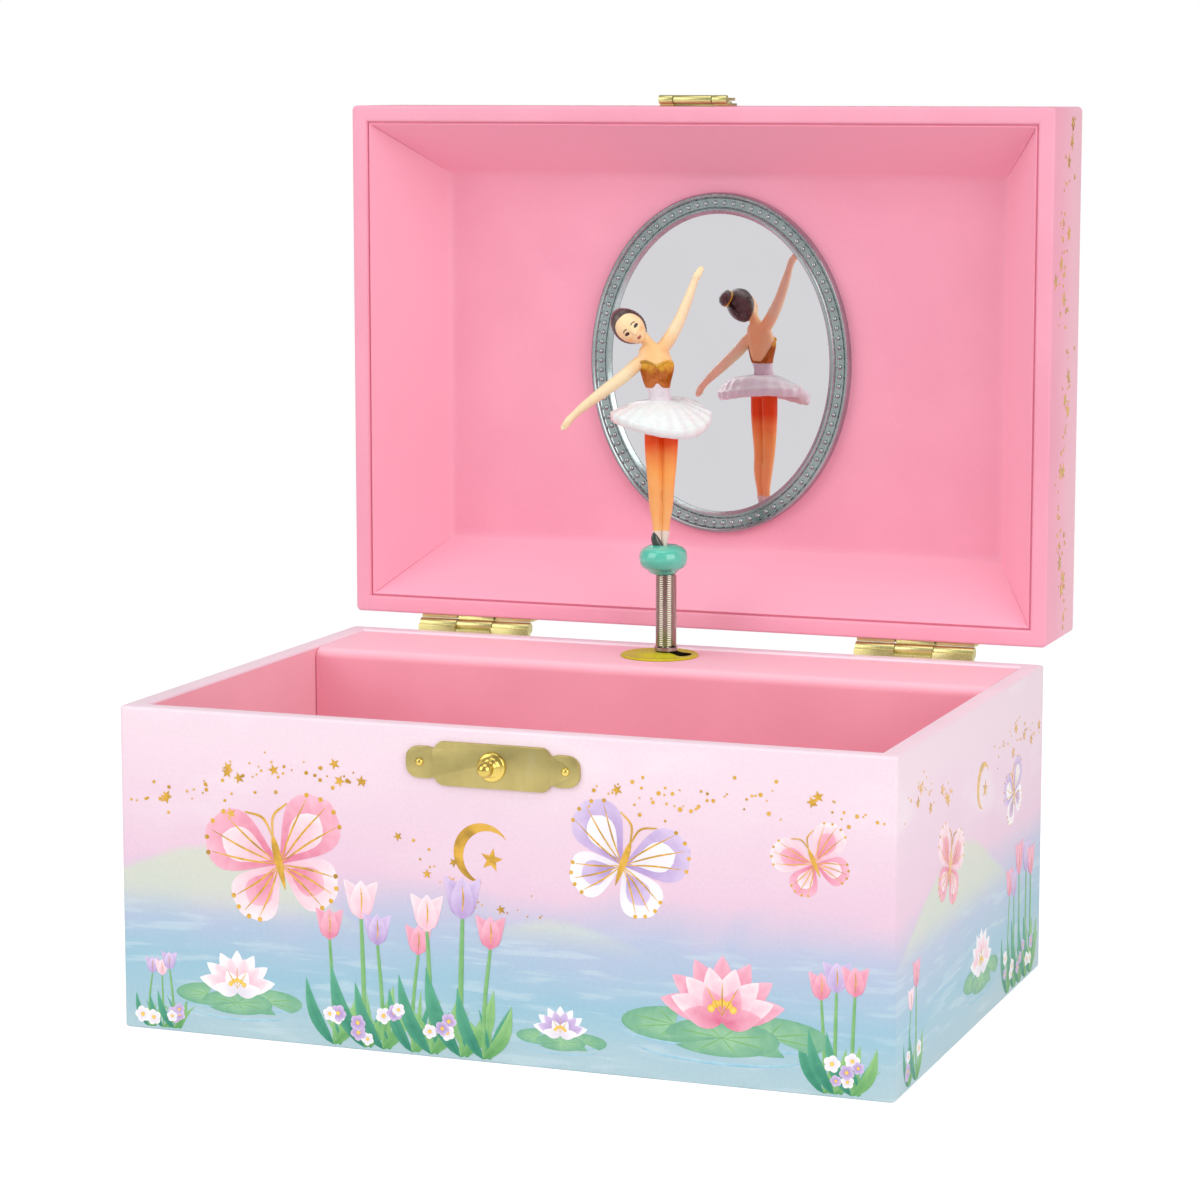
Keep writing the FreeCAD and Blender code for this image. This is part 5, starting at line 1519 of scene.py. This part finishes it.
class Print:
    """Thin shapes of ink and foil on one flat face, placed in millimetres across it and up it.

    The face runs half its width to both sides of its origin, and from low to high.
    The seed fixes where chance puts things.
    """

    def __init__(self, origin, across, up, half, low, high, seed):
        self.origin, self.across, self.up = Vector(origin), Vector(across), Vector(up)
        self.half, self.low, self.high = half - SIDE_MARGIN, low + FOOT_MARGIN, high - TOP_MARGIN
        self.out = self.across.cross(self.up)
        self.shape, self.layer, self.chance = Shape(), 0, random.Random(seed)

    def solid(self, top, tones, ink_name, faces, edge):
        """A closed flake from the faces of its upper side and the loop of points round its edge."""
        lift = sizes().ink_lift + sizes().ink_step * self.layer
        self.layer += 1
        points = []
        for p in top:
            x, y = min(max(p.x, -self.half), self.half), min(max(p.y, self.low), self.high)
            points.append(self.origin + self.across * x + self.up * y)
        count = len(points)
        under = [p - self.out * sizes().ink_lift for p in points]
        sides = [(a, b, b + count, a + count) for a, b in zip(edge, edge[1:] + edge[:1])]
        below = [[i + count for i in face][::-1] for face in faces]
        points = [p + self.out * lift for p in points] + under
        self.shape.add(points, [*faces, *sides, *below], INK_ORDER.index(ink_name), list(tones) * 2)

    def blot(self, outline, ink_name, rim=0.2, heart=0.9):
        """A flat patch with a tone at its rim and another in its middle."""
        middle = sum(outline, Vector((0, 0))) / len(outline)
        count = len(outline)
        faces = [(i, (i + 1) % count, count) for i in range(count)]
        self.solid([*outline, middle], [rim] * count + [heart], ink_name, faces, list(range(count)))

    def strip(self, rows, tones, ink_name):
        """A patch from rows of points across it."""
        wide, long = len(rows[0]), len(rows)
        faces = []
        for r in range(long - 1):
            a, b = r * wide, (r + 1) * wide
            faces += [(a + i, a + i + 1, b + i + 1, b + i) for i in range(wide - 1)]
        last = (long - 1) * wide
        edge = list(range(wide)) + [r * wide + wide - 1 for r in range(1, long)]
        edge += [last + i for i in range(wide - 2, -1, -1)] + [r * wide for r in range(long - 2, 0, -1)]
        points = [p for row in rows for p in row]
        self.solid(points, [t for row in tones for t in row], ink_name, faces, edge)

    def petal(self, base, tip, width, ink_name, ripe=1.0, bend=0.0, blunt=1.0, tones=(0.15, 0.95)):
        """A petal, leaf or wing: ripe moves its widest part, and a small blunt rounds its ends."""
        base, tip = Vector(base), Vector(tip)
        along = tip - base
        side = Vector((-along.y, along.x)).normalized()
        rows, shades = [], []
        for t in np.linspace(0.004, 0.996, 11):
            middle = base + along * t + side * bend * math.sin(math.pi * t)
            half = width / 2 * math.sin(math.pi * t**ripe) ** blunt
            rows.append([middle - side * half, middle, middle + side * half])
            run = tones[0] + (tones[1] - tones[0]) * t
            shades.append([run, run - 0.18, run + 0.1])
        self.strip(rows, shades, ink_name)

    def stroke(self, points, width, ink_name, taper=0.25):
        """A brush line through points, thinner at its ends."""
        run = [Vector(p) for p in through([tuple(p) for p in points], 5)]
        rows = []
        for i, p in enumerate(run):
            ahead = run[min(i + 1, len(run) - 1)] - run[max(i - 1, 0)]
            side = Vector((-ahead.y, ahead.x)).normalized()
            t = i / (len(run) - 1)
            half = width / 2 * (taper + (1 - taper) * math.sin(math.pi * t))
            rows.append([p - side * half, p + side * half])
        self.strip(rows, [[0.35, 0.6]] * len(rows), ink_name)

    def disc(self, middle, radius, ink_name, flat=1.0, rim=0.2, heart=0.9):
        """A round or flattened spot."""
        middle = Vector(middle)
        spokes = [polar(radius, 360 * i / 18) for i in range(18)]
        self.blot([middle + flattened(p, flat) for p in spokes], ink_name, rim, heart)

    def star(self, middle, radius, turn):
        """A foil star with five points, turned by an angle in degrees."""
        reach = [radius if i % 2 == 0 else radius * 0.42 for i in range(10)]
        self.blot([middle + polar(r, turn + 36 * i) for i, r in enumerate(reach)], "foil")

    def sprinkle(self, path, spread, count, large=0.55):
        """Foil dots and small stars scattered along a line of points."""
        run = [Vector(p) for p in through(path, 8)]
        for step in range(count):
            self.layer = DOT_LAYER + step % DOT_LAYERS
            place = run[self.chance.randrange(len(run))]
            place = place + polar(abs(self.chance.gauss(0, spread)), self.chance.uniform(0, 360))
            reach = large * 2.1
            place.x = min(max(place.x, reach - self.half), self.half - reach)
            place.y = min(max(place.y, self.low + reach), self.high - reach)
            grain = self.chance.random()
            if grain > 0.9:
                self.star(place, reach, self.chance.uniform(0, 72))
            else:
                self.disc(place, large * (0.3 + 0.6 * grain * grain), "foil")

    def butterfly(self, middle, span, turn, wing, inner):
        """Four wings with foil veins and dots, a foil body and feelers."""
        self.layer = PICTURE_LAYER
        middle = Vector(middle)
        wings = ((0.44, -38, 0.36, inner, wing), (0.56, 36, 0.42, wing, inner))
        for side in (1, -1):
            for share, lean, wide, ink_name, spot in wings:
                reach, width = span * share, span * wide
                angle = turn + (lean if side > 0 else 180 - lean)
                self.petal(middle, middle + polar(reach, angle), width, ink_name, ripe=1.7, blunt=0.62)
                near, far = polar(span * 0.06, angle), polar(reach * 0.78, angle)
                self.petal(middle + near, middle + far, width * 0.55, spot, ripe=1.6, blunt=0.7)
                bow = polar(span * 0.012, angle + 90)
                for fan in (-16, 0, 16):
                    tip = middle + polar(reach * (0.86 if fan else 0.92), angle + fan)
                    self.stroke([middle, (middle + tip) / 2 + bow, tip], span * 0.014, "foil")
                for fan in (-19, -7, 7, 19):
                    rim = polar(reach * (0.98 - abs(fan) * 0.004), angle + fan * 0.9)
                    self.disc(middle + rim, span * 0.016, "foil")
        up = turn + 90
        tail, head = polar(span * 0.17, up), polar(span * 0.2, up)
        self.petal(middle - tail, middle + head, span * 0.055, "foil", ripe=1.3, blunt=0.6)
        root = middle + polar(span * 0.18, up)
        for side in (1, -1):
            bend, tip = polar(span * 0.14, up - side * 16), polar(span * 0.25, up - side * 38)
            self.stroke([root, root + bend, root + tip], span * 0.016, "foil", taper=0.6)

    def pad(self, heart, reach, notch, vein):
        """A floating leaf, notched in one direction, with veins."""
        flat = 0.32
        spokes = [polar(reach, notch + 14 + 332 * i / 25) for i in range(26)]
        self.blot([*(heart + flattened(p, flat) for p in spokes), heart], "pond", rim=0.15, heart=0.75)
        for i in range(7):
            tip = flattened(polar(reach * 0.86, notch + 40 + 280 * i / 6), flat)
            self.stroke([heart, heart + tip / 2, heart + tip], vein, "leaf")

    def lily(self, middle, scale, petals=("rose", "blush")):
        """A water flower on its pads, with rings on the water."""
        self.layer = PICTURE_LAYER
        middle = Vector(middle)
        for reach, drop in ((1.75, -0.28), (1.45, -0.5)):
            arc = []
            for a in np.linspace(3.5, 5.9, 6):
                step = (math.cos(a) * scale * reach, scale * drop + math.sin(a) * scale * 0.24)
                arc.append(middle + Vector(step))
            self.stroke(arc, scale * 0.05, "ripple")
        for x, y, wide, notch in ((-0.75, -0.2, 0.85, 70), (0.72, -0.26, 0.95, 300), (0, -0.34, 0.9, 200)):
            self.pad(middle + Vector((x, y)) * scale, scale * wide, notch, scale * 0.022)
        whorls = ((7, 1.0, 0.42, 0.0), (6, 0.86, 0.4, -0.04), (4, 0.62, 0.34, -0.1))
        for ring, (count, reach, wide, lift) in enumerate(whorls):
            odd = ring % 2
            for i in range(count):
                angle = 12 + 156 * (i + 0.3 * odd) / (count - 1 + 0.6 * odd)
                p = polar(scale * reach, angle)
                tip = middle + Vector((p.x, p.y * 0.92 + lift * scale))
                root = middle + Vector((0, lift * scale))
                self.petal(root, tip, scale * wide, petals[odd], ripe=0.85, blunt=0.8)
        for i in range(5):
            self.disc(middle + polar(scale * 0.2, 30 + 30 * i), scale * 0.06, "sun")
        for i in range(3):
            tip = middle + polar(scale * 0.5, 60 + 30 * i)
            self.stroke([middle, (middle + tip) / 2, tip], scale * 0.025, "foil")

    def tulip(self, foot, height, lean, petals):
        """A stem with two leaves and a cup of three petals."""
        foot = Vector(foot)
        top = foot + Vector((lean, height))
        knee = foot + Vector((lean * 0.2, height * 0.5))
        self.stroke([foot, knee, top], height * 0.035, "leaf", taper=0.7)
        wide, bend, cup = height * 0.12, height * 0.06, height * 0.27
        tip = foot + Vector((-height * 0.26 + lean * 0.3, height * 0.62))
        self.petal(foot, tip, wide, "fern", ripe=0.8, bend=bend)
        tip = foot + Vector((height * 0.24 + lean * 0.3, height * 0.5))
        self.petal(foot, tip, wide, "leaf", ripe=0.8, bend=-bend)
        for side in (-1, 1):
            root, tip = top + Vector((side * cup * 0.1, 0)), top + Vector((side * cup * 0.5, cup))
            self.petal(root, tip, cup * 0.52, petals, ripe=0.75, bend=side * cup * 0.14, blunt=0.8)
        root, tip = top - Vector((0, cup * 0.08)), top + Vector((0, cup))
        self.petal(root, tip, cup * 0.62, petals, ripe=0.8, blunt=0.75, tones=(0.35, 1.0))
        crease = [top + Vector((cup * x, cup * y)) for x, y in ((0, 0.1), (0.03, 0.45), (0, 0.8))]
        self.stroke(crease, cup * 0.05, "foil")

    def tuft(self, foot, height, count):
        """Grass blades that fan out of one root."""
        foot = Vector(foot)
        for i in range(count):
            angle = 90 + (i - (count - 1) / 2) * 17 + self.chance.uniform(-5, 5)
            tip = foot + polar(height * self.chance.uniform(0.65, 1.0), angle)
            bend = (90 - angle) * height * 0.0022
            self.petal(foot, tip, height * 0.09, ("leaf", "fern")[i % 2], ripe=0.7, bend=bend)

    def blossom(self, middle, radius, ink_name):
        """Five round petals about a yellow heart."""
        middle, turn = Vector(middle), self.chance.uniform(0, 72)
        for i in range(5):
            tip = middle + polar(radius, turn + 72 * i)
            self.petal(middle, tip, radius * 0.9, ink_name, ripe=1.3, blunt=0.6)
        self.disc(middle, radius * 0.26, "sun")

    def bank(self, left, right, height, stems, petals):
        """A row of tulips, grass and small blossoms along the foot of a wall."""
        self.layer = PICTURE_LAYER
        for i in range(stems):
            x = left + (right - left) * (i + 0.5) / stems + self.chance.uniform(-0.8, 0.8)
            self.tuft((x + 1.2, 0.3), height * self.chance.uniform(0.3, 0.5), 5)
            tall = height * self.chance.uniform(0.7, 1.0)
            self.tulip((x, 0.3), tall, self.chance.uniform(-1.5, 1.5), petals[i % len(petals)])
        for i in range(stems * 2):
            x = left + (right - left) * self.chance.random()
            y = self.chance.uniform(2.2, height * 0.34)
            self.blossom((x, y), self.chance.uniform(1.1, 1.7), ("white", "lilac")[i % 2])

    def moon(self, middle, radius):
        """A foil crescent with a star in its arms."""
        self.layer = PICTURE_LAYER
        middle = Vector(middle)
        rows = []
        for a in np.linspace(-118, 118, 25):
            thick = radius * 0.3 * math.cos(math.radians(a) * 0.76)
            inner, outer = polar(radius - thick, a + 150), polar(radius + thick * 0.3, a + 150)
            rows.append([middle + inner, middle + outer])
        self.strip(rows, [[0.3, 0.7]] * len(rows), "foil")
        self.star(middle + polar(radius * 0.35, -30), radius * 0.42, 80)

    def cloud(self, middle, wide):
        """A white puff with a flat foot."""
        self.layer = CLOUD_LAYER
        middle = Vector(middle)
        puffs = ((-0.32, 0.0, 0.16), (0.3, 0.0, 0.17), (-0.12, 0.1, 0.22), (0.12, 0.08, 0.2), (0, 0.0, 0.2))
        for x, y, r in puffs:
            self.disc(middle + Vector((x, y)) * wide, r * wide, "white", flat=0.8, rim=0.75, heart=1.0)

    def done(self, name, body):
        """The whole print of this face as one piece."""
        piece(name, self.shape, inks(), body, crease=30)


def make_front_print():
    """Flowers, grass and butterflies on the front wall."""
    p = Print((0, BASE_LOW.y, 0), (1, 0, 0), UP, BASE_HIGH.x, 0, BASE_HIGH.z, seed=11)
    p.lily((-52, 9.5), 8.0, ("white", "blush"))
    p.lily((44, 13), 12.0)
    p.lily((13, 7), 5.4, ("white", "lilac"))
    p.butterfly((-43, 34), 29, 14, "rose", "blush")
    p.butterfly((25, 39), 24, -20, "lilac", "white")
    p.butterfly((61, 42), 15, 24, "blush", "rose")
    p.bank(-72, -64, 15, 3, ("lilac", "blush"))
    p.bank(-34, 0, 27, 7, ("rose", "blush", "lilac"))
    p.bank(61, 70, 21, 3, ("rose", "lilac"))
    p.moon((-2, 39), 5.4)
    p.sprinkle([(-74, 44), (-58, 47), (-44, 52), (-26, 50)], 2.6, 60)
    p.sprinkle([(20, 53), (36, 51), (50, 53), (72, 51)], 2.4, 60)
    p.sprinkle([(-20, 42), (-4, 31), (10, 29)], 2.2, 22, 0.45)
    p.done("front_print", "box_base")


def make_side_prints():
    """One design on both side walls, each with its own chance."""
    depth = BASE_HIGH.y
    for name, side in (("right_print", 1), ("left_print", -1)):
        p = Print((side * BASE_HIGH.x, 0, 0), (0, side, 0), UP, depth, 0, BASE_HIGH.z, seed=23 + side)
        p.lily((6, 11), 8.0, ("white", "blush"))
        p.butterfly((-18, 35), 19, -16, "blush", "rose")
        p.butterfly((30, 40), 15, 18, "lilac", "white")
        p.bank(24, depth - 6, 24, 5, ("rose", "lilac"))
        p.bank(-depth + 6, -38, 20, 2, ("blush", "rose"))
        p.moon((6, 46), 4.4)
        p.sprinkle([(-50, 50), (-34, 53), (-18, 49)], 2.4, 30)
        p.sprinkle([(16, 50), (32, 53), (50, 48)], 2.4, 30)
        p.done(name, "box_base")


def make_back_print():
    """A quieter design on the back wall, clear of the key."""
    p = Print((0, BASE_HIGH.y, 0), (-1, 0, 0), UP, BASE_HIGH.x, 0, BASE_HIGH.z, seed=37)
    p.lily((-44, 10), 8.0, ("white", "blush"))
    p.lily((40, 10), 8.0)
    p.butterfly((-22, 38), 20, 18, "lilac", "blush")
    p.butterfly((24, 42), 16, -14, "rose", "blush")
    p.bank(-70, -58, 22, 3, ("rose", "lilac"))
    p.bank(58, 70, 22, 3, ("blush", "rose"))
    p.sprinkle([(-30, 50), (0, 44), (30, 50)], 3.0, 40)
    p.done("back_print", "box_base")


def make_lid_print():
    """Clouds, butterflies and blossoms on the lid's top board."""
    middle, tall = (LID_LOW.z + LID_HIGH.z) / 2, (LID_HIGH.z - LID_LOW.z) / 2
    p = Print((0, LID_HIGH.y, middle), (-1, 0, 0), UP, LID_HIGH.x, -tall, tall, seed=51)
    for place, wide in (((-48, 34), 30), ((40, 38), 24), ((0, -6), 28), ((54, -18), 20)):
        p.cloud(place, wide)
    p.butterfly((-22, 2), 36, 14, "rose", "blush")
    p.butterfly((34, 8), 26, -18, "lilac", "white")
    p.butterfly((8, 34), 18, 24, "blush", "rose")
    p.butterfly((-56, -24), 16, -20, "lilac", "blush")
    p.moon((54, 34), 8)
    for i in range(16):
        p.layer = PICTURE_LAYER
        p.blossom((-70 + 9.3 * i, -47 + 1.5 * math.sin(i * 2.1)), 2.6, ("white", "lilac", "rose")[i % 3])
    p.sprinkle([(-66, 24), (-40, 18), (-10, 22), (30, 30), (64, 14)], 5.0, 90, 0.7)
    p.sprinkle([(-60, -36), (-20, -30), (20, -34), (60, -36)], 4.0, 60, 0.6)
    p.done("lid_top_print", "lid")


def make_lid_edge_prints():
    """Foil dots on the lid's two narrow sides and along its front."""
    middle, tall = (LID_LOW.z + LID_HIGH.z) / 2, (LID_HIGH.z - LID_LOW.z) / 2
    deep, thick = (LID_LOW.y + LID_HIGH.y) / 2, (LID_HIGH.y - LID_LOW.y) / 2
    for name, x, side in (("lid_right_print", LID_HIGH.x, 1), ("lid_left_print", LID_LOW.x, -1)):
        p = Print((x, deep, middle), (0, side, 0), UP, thick, -tall, tall, seed=60)
        p.sprinkle([(4, -50), (-3, -25), (3, 0), (-4, 25), (4, 50)], 2.8, 110, 0.8)
        p.done(name, "lid")
    p = Print((0, deep, LID_HIGH.z), (-1, 0, 0), BACKWARD, LID_HIGH.x, -thick, thick, seed=64)
    p.sprinkle([(-72, 2), (-44, -3), (-16, 6)], 2.6, 50, 0.6)
    p.sprinkle([(16, 6), (44, -3), (72, 2)], 2.6, 50, 0.6)
    p.done("lid_front_print", "lid")


# The camera as fitted to the photograph: lens and sensor in millimetres, place and aim in metres.
LENS, SENSOR = 109.15, 36
CAMERA_PLACE = (0.2444, -0.6551, 0.1788)
CAMERA_AIM = (0.0006, 0, 0.07866)
LAMP_AIM = (0, 0, 0.08)

# Strength of the surroundings as a soft light and in reflections; the camera sees them at 1.
SOFT_LIGHT, REFLECTED_LIGHT = 0.6, 0.4

# The floor is shaded nearer than the first distance and plain white past the second, in metres.
SHADED, PLAIN = 0.22, 0.55


def aimed(name, data, place, aim):
    """A camera or lamp in its place, turned to what it looks at."""
    obj = placed(name, data)
    obj.location = place
    obj.rotation_euler = (Vector(aim) - Vector(place)).to_track_quat("-Z", "Y").to_euler()
    return obj


def lamp(name, place, wide, watts):
    """A large soft lamp turned to the object."""
    data = bpy.data.lights.new(name, "AREA")
    data.shape, data.size, data.energy = "SQUARE", wide, watts
    obj = aimed(name, data, place, LAMP_AIM)


def make_world():
    """White behind the object, and dimmer as light and in reflections, so that metal shows the lamps."""
    world = bpy.data.worlds.new("studio")
    world.use_nodes = True
    nodes, links = world.node_tree.nodes, world.node_tree.links
    sort = nodes.new("ShaderNodeLightPath")
    strength = nodes.new("ShaderNodeMix")
    strength.inputs["A"].default_value, strength.inputs["B"].default_value = SOFT_LIGHT, REFLECTED_LIGHT
    links.new(sort.outputs["Is Glossy Ray"], strength.inputs["Factor"])
    level = nodes.new("ShaderNodeMath")
    level.operation = "MAXIMUM"
    links.new(strength.outputs["Result"], level.inputs[0])
    links.new(sort.outputs["Is Camera Ray"], level.inputs[1])
    links.new(level.outputs[0], nodes["Background"].inputs["Strength"])
    nodes["Background"].inputs["Color"].default_value = WHITE
    bpy.context.scene.world = world


def make_floor():
    """A plain pale floor that keeps the shadow near the object and is white further off."""
    f = Finish("floor_white", Roughness=0.9, Specular_IOR_Level=0.0, Emission_Color=WHITE)
    sort = f.node("LightPath", {}).outputs
    camera, mirrored = sort["Is Camera Ray"], sort["Is Glossy Ray"]
    seen = f.sum("MAXIMUM", camera, mirrored)
    distance = f.node("VectorMath", {0: f.place}, operation="LENGTH").outputs["Value"]
    far = f.span(distance, SHADED, PLAIN)
    f.colour(f.blend(f.sum("MULTIPLY", seen, far), (0.8, 0.8, 0.8, 1), (0, 0, 0, 1)))
    shown = f.sum("MAXIMUM", camera, f.sum("MULTIPLY", mirrored, 0.775))
    glow = f.sum("MULTIPLY", shown, f.span(distance, SHADED, PLAIN, 0.5, 1.0))
    f.fill(f.shader.inputs["Emission Strength"], glow)
    f.rough(f.span(f.noise(900, 2), 0.3, 0.7, 0.85, 0.95))
    outline = rounded_rectangle(4000, 4000, 200)
    shape = Shape().loft([[(x, y, z) for x, y in outline] for z in (-2.0, 0.0)])
    floor = raw_piece("floor", shape, [f.material])


def make_stage():
    """Camera, floor, soft lamps and white surroundings."""
    scene = bpy.context.scene
    scene.view_settings.view_transform = "Standard"
    data = bpy.data.cameras.new("camera")
    data.lens, data.sensor_width = LENS, SENSOR
    data.clip_start, data.clip_end = 0.01, 50
    camera = aimed("camera", data, CAMERA_PLACE, CAMERA_AIM)
    scene.camera = camera
    make_world()
    make_floor()
    lamp("key_lamp", (-1.15, -1.25, 0.9), 1.3, 11)
    lamp("fill_lamp", (1.4, -0.9, 0.75), 1.3, 12.5)
    lamp("top_lamp", (0.0, -0.35, 1.7), 1.2, 6)


class MUSICBOX_OT_walls(bpy.types.Operator):
    """Wrap the walls of the base in printed paper"""

    bl_idname = "musicbox.walls"
    bl_label = "Walls"

    def execute(self, context):
        make_walls()
        return {"FINISHED"}


class MUSICBOX_OT_compartment(bpy.types.Operator):
    """Line the compartment and cover the dancer's ledge"""

    bl_idname = "musicbox.compartment"
    bl_label = "Compartment"

    def execute(self, context):
        make_compartment()
        return {"FINISHED"}


class MUSICBOX_OT_lid(bpy.types.Operator):
    """Wrap the lid and fold the card tray inside it"""

    bl_idname = "musicbox.lid"
    bl_label = "Lid"

    def execute(self, context):
        make_lid()
        make_liner()
        return {"FINISHED"}


class MUSICBOX_OT_mirror(bpy.types.Operator):
    """Silver the mirror and press its beaded frame"""

    bl_idname = "musicbox.mirror"
    bl_label = "Mirror"

    def execute(self, context):
        make_mirror()
        return {"FINISHED"}


class MUSICBOX_OT_hinges(bpy.types.Operator):
    """Press the two hinges"""

    bl_idname = "musicbox.hinges"
    bl_label = "Hinges"

    def execute(self, context):
        make_hinges()
        return {"FINISHED"}


class MUSICBOX_OT_catch(bpy.types.Operator):
    """Press the catch plate and hasp, and turn the knob"""

    bl_idname = "musicbox.catch"
    bl_label = "Catch"

    def execute(self, context):
        make_plate()
        make_knob()
        make_nail_heads()
        make_hasp()
        return {"FINISHED"}


class MUSICBOX_OT_spring(bpy.types.Operator):
    """Press the rosette and wind the dancer's spring"""

    bl_idname = "musicbox.spring"
    bl_label = "Spring"

    def execute(self, context):
        make_rosette()
        make_coil()
        return {"FINISHED"}


class MUSICBOX_OT_stand(bpy.types.Operator):
    """Mould the bead and peg under the dancer"""

    bl_idname = "musicbox.stand"
    bl_label = "Stand"

    def execute(self, context):
        make_bead()
        make_peg()
        return {"FINISHED"}


class MUSICBOX_OT_dancer(bpy.types.Operator):
    """Mould and paint the dancer"""

    bl_idname = "musicbox.dancer"
    bl_label = "Dancer"

    def execute(self, context):
        make_body()
        make_head()
        make_face()
        make_hair()
        make_dress()
        return {"FINISHED"}


class MUSICBOX_OT_skirt(bpy.types.Operator):
    """Mould the dancer's skirt"""

    bl_idname = "musicbox.skirt"
    bl_label = "Skirt"

    def execute(self, context):
        make_skirt()
        return {"FINISHED"}


class MUSICBOX_OT_print(bpy.types.Operator):
    """Print flowers, butterflies and foil stars on the walls and the lid"""

    bl_idname = "musicbox.print"
    bl_label = "Print"

    def execute(self, context):
        make_front_print()
        make_side_prints()
        make_back_print()
        make_lid_print()
        make_lid_edge_prints()
        return {"FINISHED"}


class MUSICBOX_OT_key(bpy.types.Operator):
    """Make the winding key behind the box"""

    bl_idname = "musicbox.key"
    bl_label = "Key"

    def execute(self, context):
        make_key()
        return {"FINISHED"}


class MUSICBOX_OT_movement(bpy.types.Operator):
    """Finish the musical movement under the ledge"""

    bl_idname = "musicbox.movement"
    bl_label = "Movement"

    def execute(self, context):
        make_movement()
        return {"FINISHED"}


class MUSICBOX_OT_stage(bpy.types.Operator):
    """Set up the camera, the lamps and the floor"""

    bl_idname = "musicbox.stage"
    bl_label = "Stage"

    def execute(self, context):
        make_stage()
        return {"FINISHED"}


OPERATORS = (
    MUSICBOX_OT_walls, MUSICBOX_OT_compartment, MUSICBOX_OT_lid, MUSICBOX_OT_mirror, MUSICBOX_OT_hinges,
    MUSICBOX_OT_catch, MUSICBOX_OT_spring, MUSICBOX_OT_stand, MUSICBOX_OT_dancer, MUSICBOX_OT_skirt,
    MUSICBOX_OT_print, MUSICBOX_OT_key, MUSICBOX_OT_movement, MUSICBOX_OT_stage,
)


class MUSICBOX_PT_panel(bpy.types.Panel):
    """The pieces in building order, with their colours and sizes"""

    bl_idname = "MUSICBOX_PT_panel"
    bl_label = "Music Box"
    bl_space_type = "VIEW_3D"
    bl_region_type = "UI"
    bl_category = "Music Box"

    def draw(self, context):
        for operator in OPERATORS:
            self.layout.operator(operator.bl_idname)
        for group in (context.scene.box_colours, context.scene.box_sizes):
            column = self.layout.column()
            for name in group.__annotations__:
                column.prop(group, name)


CLASSES = (BoxColours, BoxSizes, *OPERATORS, MUSICBOX_PT_panel)


def register():
    """Makes the classes and the scene's properties known to Blender."""
    for cls in CLASSES:
        bpy.utils.register_class(cls)
    bpy.types.Scene.box_colours = PointerProperty(type=BoxColours)
    bpy.types.Scene.box_sizes = PointerProperty(type=BoxSizes)


def unregister():
    """Takes them away again."""
    del bpy.types.Scene.box_sizes
    del bpy.types.Scene.box_colours
    for cls in reversed(CLASSES):
        bpy.utils.unregister_class(cls)


def main():
    """Builds every piece and the stage."""
    register()
    bpy.ops.musicbox.walls()
    bpy.ops.musicbox.compartment()
    bpy.ops.musicbox.lid()
    bpy.ops.musicbox.mirror()
    bpy.ops.musicbox.hinges()
    bpy.ops.musicbox.catch()
    bpy.ops.musicbox.spring()
    bpy.ops.musicbox.stand()
    bpy.ops.musicbox.dancer()
    bpy.ops.musicbox.skirt()
    bpy.ops.musicbox.print()
    bpy.ops.musicbox.key()
    bpy.ops.musicbox.movement()
    bpy.ops.musicbox.stage()
    bpy.context.view_layer.update()


if __name__ == "__main__":
    main()
